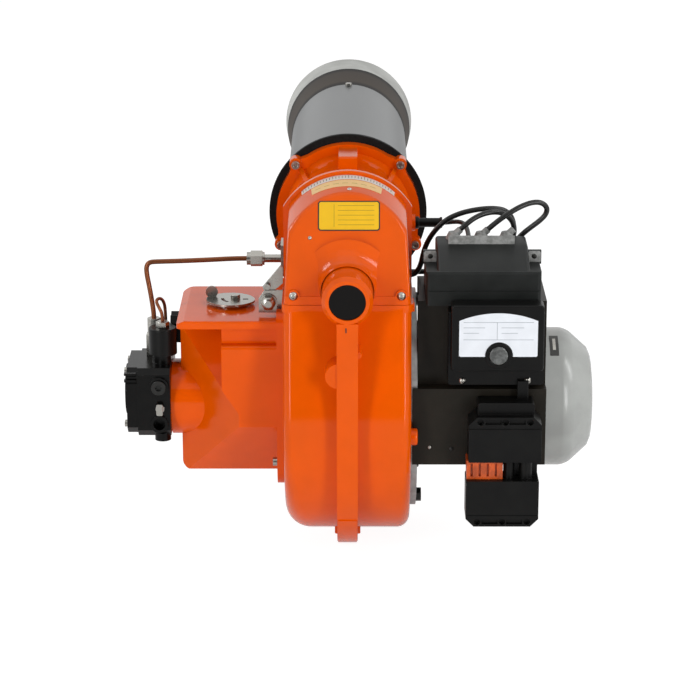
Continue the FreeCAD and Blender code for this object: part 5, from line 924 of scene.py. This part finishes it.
class BURNER_OT_leads(bpy.types.Operator):
    """Ignition leads and the photocell's lead"""
    bl_idname = "burner.leads"
    bl_label = "Leads"

    def execute(self, context):
        sizes = context.scene.burner_leads
        lead("ignition_lead_a", (
            (63.05, -209, -15), (67, -209, -15), (71.5, -209, -11), (75, -209, -3), (77, -209, 8),
            (81, -209.5, 20), (89, -211, 33), (100, -210.5, 43.5), (114, -210, 50), (130, -209, 53.5),
            (146, -207, 54.5), (159, -203, 52), (167, -199, 44), (170, -197, 32), (169, -196, 18),
            (164, -196, 4), (156, -198, -8), (150, -200, -17), (146.5, -202.5, -21.5),
            (146, -206, -22.5), (146, -209.95, -22.5)), sizes.lead, 226.0)
        lead("ignition_lead_b", (
            (113.05, -248, 43.05), (116.7, -248, 46.45), (126, -245, 53.5), (136, -242, 57.5),
            (146, -239, 58.7), (155, -234, 56.5), (163, -228, 50), (168, -221, 41), (169, -215, 29),
            (164, -210, 16), (152, -206.5, 4), (136, -204, -6), (116, -200, -12), (88, -197.5, -15),
            (63.05, -197.5, -15)), sizes.lead, 211.4)
        lead("ignition_lead_c", (
            (140.55, -248, 43.05), (144.2, -248, 46.45), (153.5, -247.5, 54), (163.5, -246, 60.5),
            (174.5, -243, 66), (185.5, -240, 69), (194.5, -238, 68), (200, -236, 62.5),
            (199.5, -234.5, 55.5), (193.5, -233.5, 48.5), (185.5, -232.5, 42), (178.5, -231.5, 36),
            (173.5, -231, 31), (171, -232.5, 28), (171, -237.95, 28)), sizes.lead, 122.0)
        lead("photocell_lead", (
            (101.05, -65, 3), (105, -65, 3), (112, -66, 4), (118.5, -71, 5.5), (124, -81, 6),
            (127, -97, 3), (127.5, -120.76, -2), (126, -149.47, -10), (124, -178.18, -19),
            (122, -196, -26), (121, -203, -27.5), (121, -209.95, -27.5)), sizes.sensor, 164.6)
        return {"FINISHED"}


class BURNER_OT_prints(bpy.types.Operator):
    """Blank plate, scale, label, rivets and small trim, pressed on what carries them"""
    bl_idname = "burner.prints"
    bl_label = "Prints and trim"

    def execute(self, context):
        self.scale()
        self.plate()
        self.label()
        self.trim()
        return {"FINISHED"}

    def scale(self):
        """Setting scale over the cover's vault: a silver band with ticks above a beige band."""
        vault = surface_of("housing_cover")
        add_print("scale_band", band(vault, (-46, 47), (-232, -221.5), 40), "silver")
        ticks = []
        for step, angle in enumerate(range(-44, 46, 3)):
            end = -223.5 if step % 5 else -222.5
            ticks.append(band(vault, (angle - 0.25, angle + 0.25), (-229, end), 1, 1, INK_LIFT, INK))
        add_print("scale_ticks", join(ticks), "ink")
        add_print("scale_strip", band(vault, (-36, 34), (-250, -233.5), 32), "beige")
        marks = [band(vault, (angle, angle + 5.5), (-242.5, -241.5), 4, 1, INK_LIFT, INK)
                 for angle in range(-32, 28, 9)]
        add_print("scale_marks", join(marks), "ochre_ink")

    def plate(self):
        """Yellow plate on the cover's slope, blank apart from its dark border and ruled lines."""
        matrix = facing((1.5, -287.1, 52.2), (0, -0.8406, 0.5417))
        above = matrix @ Matrix.Translation((0, 0, 0.35 * MM))
        higher = matrix @ Matrix.Translation((0, 0, 0.55 * MM))
        add_print("plate_border", slab(cut_corners(-30.6, 30.6, -0.8, 30.2, 2.0), 0.4, matrix), "ink")
        add_print("plate_face", slab(cut_corners(-29.4, 29.4, 0.4, 29.0, 1.4), 0.25, above), "yellow")
        rules = [slab(cut_corners(-11, 25, y, y + 0.6, 0.1), 0.12, higher) for y in (5, 10, 15, 20, 25)]
        rules.append(slab(cut_corners(-15, -14.4, 3, 26.5, 0.1), 0.12, higher))
        add_print("plate_rules", join(rules), "ochre_ink")

    def label(self):
        """White arched label on the control unit's face, ruled like an empty form."""
        left, right, bottom, shoulder, crown = 108.9, 185.5, -60.3, -23.9, -16.1
        corner = 1.2
        middle = (left + right) / 2
        half = (right - left) / 2
        rise = crown - shoulder
        radius = (half * half + rise * rise) / (2 * rise)
        spread = math.asin(half / radius)
        arch = arc((middle, crown - radius), radius, math.pi / 2 - spread, math.pi / 2 + spread)
        button_x, button_z, button_r = 148, -59, 13.6
        start = math.asin((bottom - button_z) / button_r)
        notch = arc((button_x, button_z), button_r, math.pi - start, start)
        outline = [(left + corner, bottom), *notch, (right - corner, bottom), (right, bottom + corner),
                   *arch, (left, bottom + corner)]
        face = facing((0, CONTROL_FRONT, 0), FRONT)
        add_print("label_face", slab(outline, 0.3, face), "white")
        lines = ((113, 181.5, -25.6, -25.1), (113, 181.5, -43.2, -42.7), (145.6, 146.1, -43, -25.3),
                 (113, 134, -31, -30.5), (113, 128, -36.5, -36), (150, 172, -31, -30.5),
                 (150, 166, -36.5, -36))
        above = facing((0, CONTROL_FRONT - 0.3, 0), FRONT)
        rules = [slab(rectangle(*line), 0.08, above) for line in lines]
        add_print("label_rules", join(rules), "grey_ink")

    def trim(self):
        """Rivets, bracket screw, painted shade in the cowl's slot with its screw, lug faces with painted
        shade in each lug's hole, terminal strip, strap, and painted shade in a dimple below the sight port.
        """
        slope = (0, -0.84, 0.54)
        heads = [dome(facing((2.0, -257.5, 86.3), (0.03, -0.15, 0.99), (0, 1, 0)), 2.3, 1.6),
                 dome(facing((-37.0, -291.5, 45.3), slope), 2.0, 1.4),
                 dome(facing((81.8, -320.0, -162.7), FRONT), 1.8, 1.0)]
        add_piece("rivets", join(heads), "zinc")
        add_piece("bracket_screw", dome(facing((103.5, -320.0, -164.1), FRONT), 2.2, 1.0), "oxide")
        cowl = surface_of("motor_cowl")
        above = facing((209.5, -246, -76.5), (0, -0.45, 0.89))
        # Painted shade: a black foil on the cowl for the dark inside of its slot; the zinc foil is the
        # screw within it.
        add_piece("cowl_slot", foil(cowl, above, (-4.5, -15), (4.5, 15), 0.25, 6, 12), "ink",
                  flat=True)
        add_piece("cowl_screw", foil(cowl, above, (-1.5, -8), (1.5, 9), 0.6, 3, 8), "zinc",
                  flat=True)
        face = facing((0, LUG_FRONT, 0), FRONT)
        lugs = [slab(cut_corners(x - 6.5, x + 6.5, 17.2, 29.2, 1.5), 0.4, face) for x in LUG_MIDDLES]
        add_piece("lug_faces", join(lugs), "grey", flat=True)
        # Painted shade: a flat black dome on each lug for the dark inside of its hole.
        hole_shades = [dome(facing((x, LUG_FRONT - 0.35, 23.8), FRONT), 2.6, 0.5) for x in LUG_MIDDLES]
        add_piece("lug_holes", join(hole_shades), "ink")
        add_piece("terminal_strip", block((100, -270.5, 33.0), (166, -268.5, 42.0)), "grey",
                  bevel=0.5 * MM)
        add_piece("connector_strap", block((167.5, -330.0, -122.0), (178.5, -325.0, -90.0)), "moulding",
                  bevel=0.8 * MM, segments=3)
        # Painted shade: a small black slab on the housing's front, below the sight port, for the shade in a
        # dimple there.
        dimple_shade = slab(rectangle(-1.9, -0.7, -30.2, -25.4), 0.25, facing((0, -365.0, 0), FRONT))
        add_piece("housing_mark", dimple_shade, "ink", flat=True)


class BURNER_PT_panel(bpy.types.Panel):
    """Housing colour and the steps that build the burner"""
    bl_idname = "BURNER_PT_panel"
    bl_label = "Burner"
    bl_space_type = "VIEW_3D"
    bl_region_type = "UI"
    bl_category = "Burner"

    def draw(self, context):
        layout = self.layout
        layout.prop(context.scene.burner_paint, "housing")
        for operator in STEPS:
            layout.operator(operator.bl_idname)


SETTINGS = (("burner_paint", BurnerPaint), ("burner_leads", BurnerLeads), ("burner_stage", BurnerStage))
STEPS = (BURNER_OT_stage, BURNER_OT_leads, BURNER_OT_castings, BURNER_OT_tube, BURNER_OT_motor,
         BURNER_OT_pump, BURNER_OT_controls, BURNER_OT_prints)


def register():
    """Register the settings, operators and panel."""
    for name, group in SETTINGS:
        bpy.utils.register_class(group)
        setattr(bpy.types.Scene, name, bpy.props.PointerProperty(type=group))
    for step in STEPS:
        bpy.utils.register_class(step)
    bpy.utils.register_class(BURNER_PT_panel)


def unregister():
    """Remove the panel, operators and settings."""
    bpy.utils.unregister_class(BURNER_PT_panel)
    for step in reversed(STEPS):
        bpy.utils.unregister_class(step)
    for name, group in reversed(SETTINGS):
        delattr(bpy.types.Scene, name)
        bpy.utils.unregister_class(group)


def main():
    """Build everything in order."""
    register()
    for step in STEPS:
        group, action = step.bl_idname.split(".")
        getattr(getattr(bpy.ops, group), action)()
    bpy.context.view_layer.update()


if __name__ == "__main__":
    main()
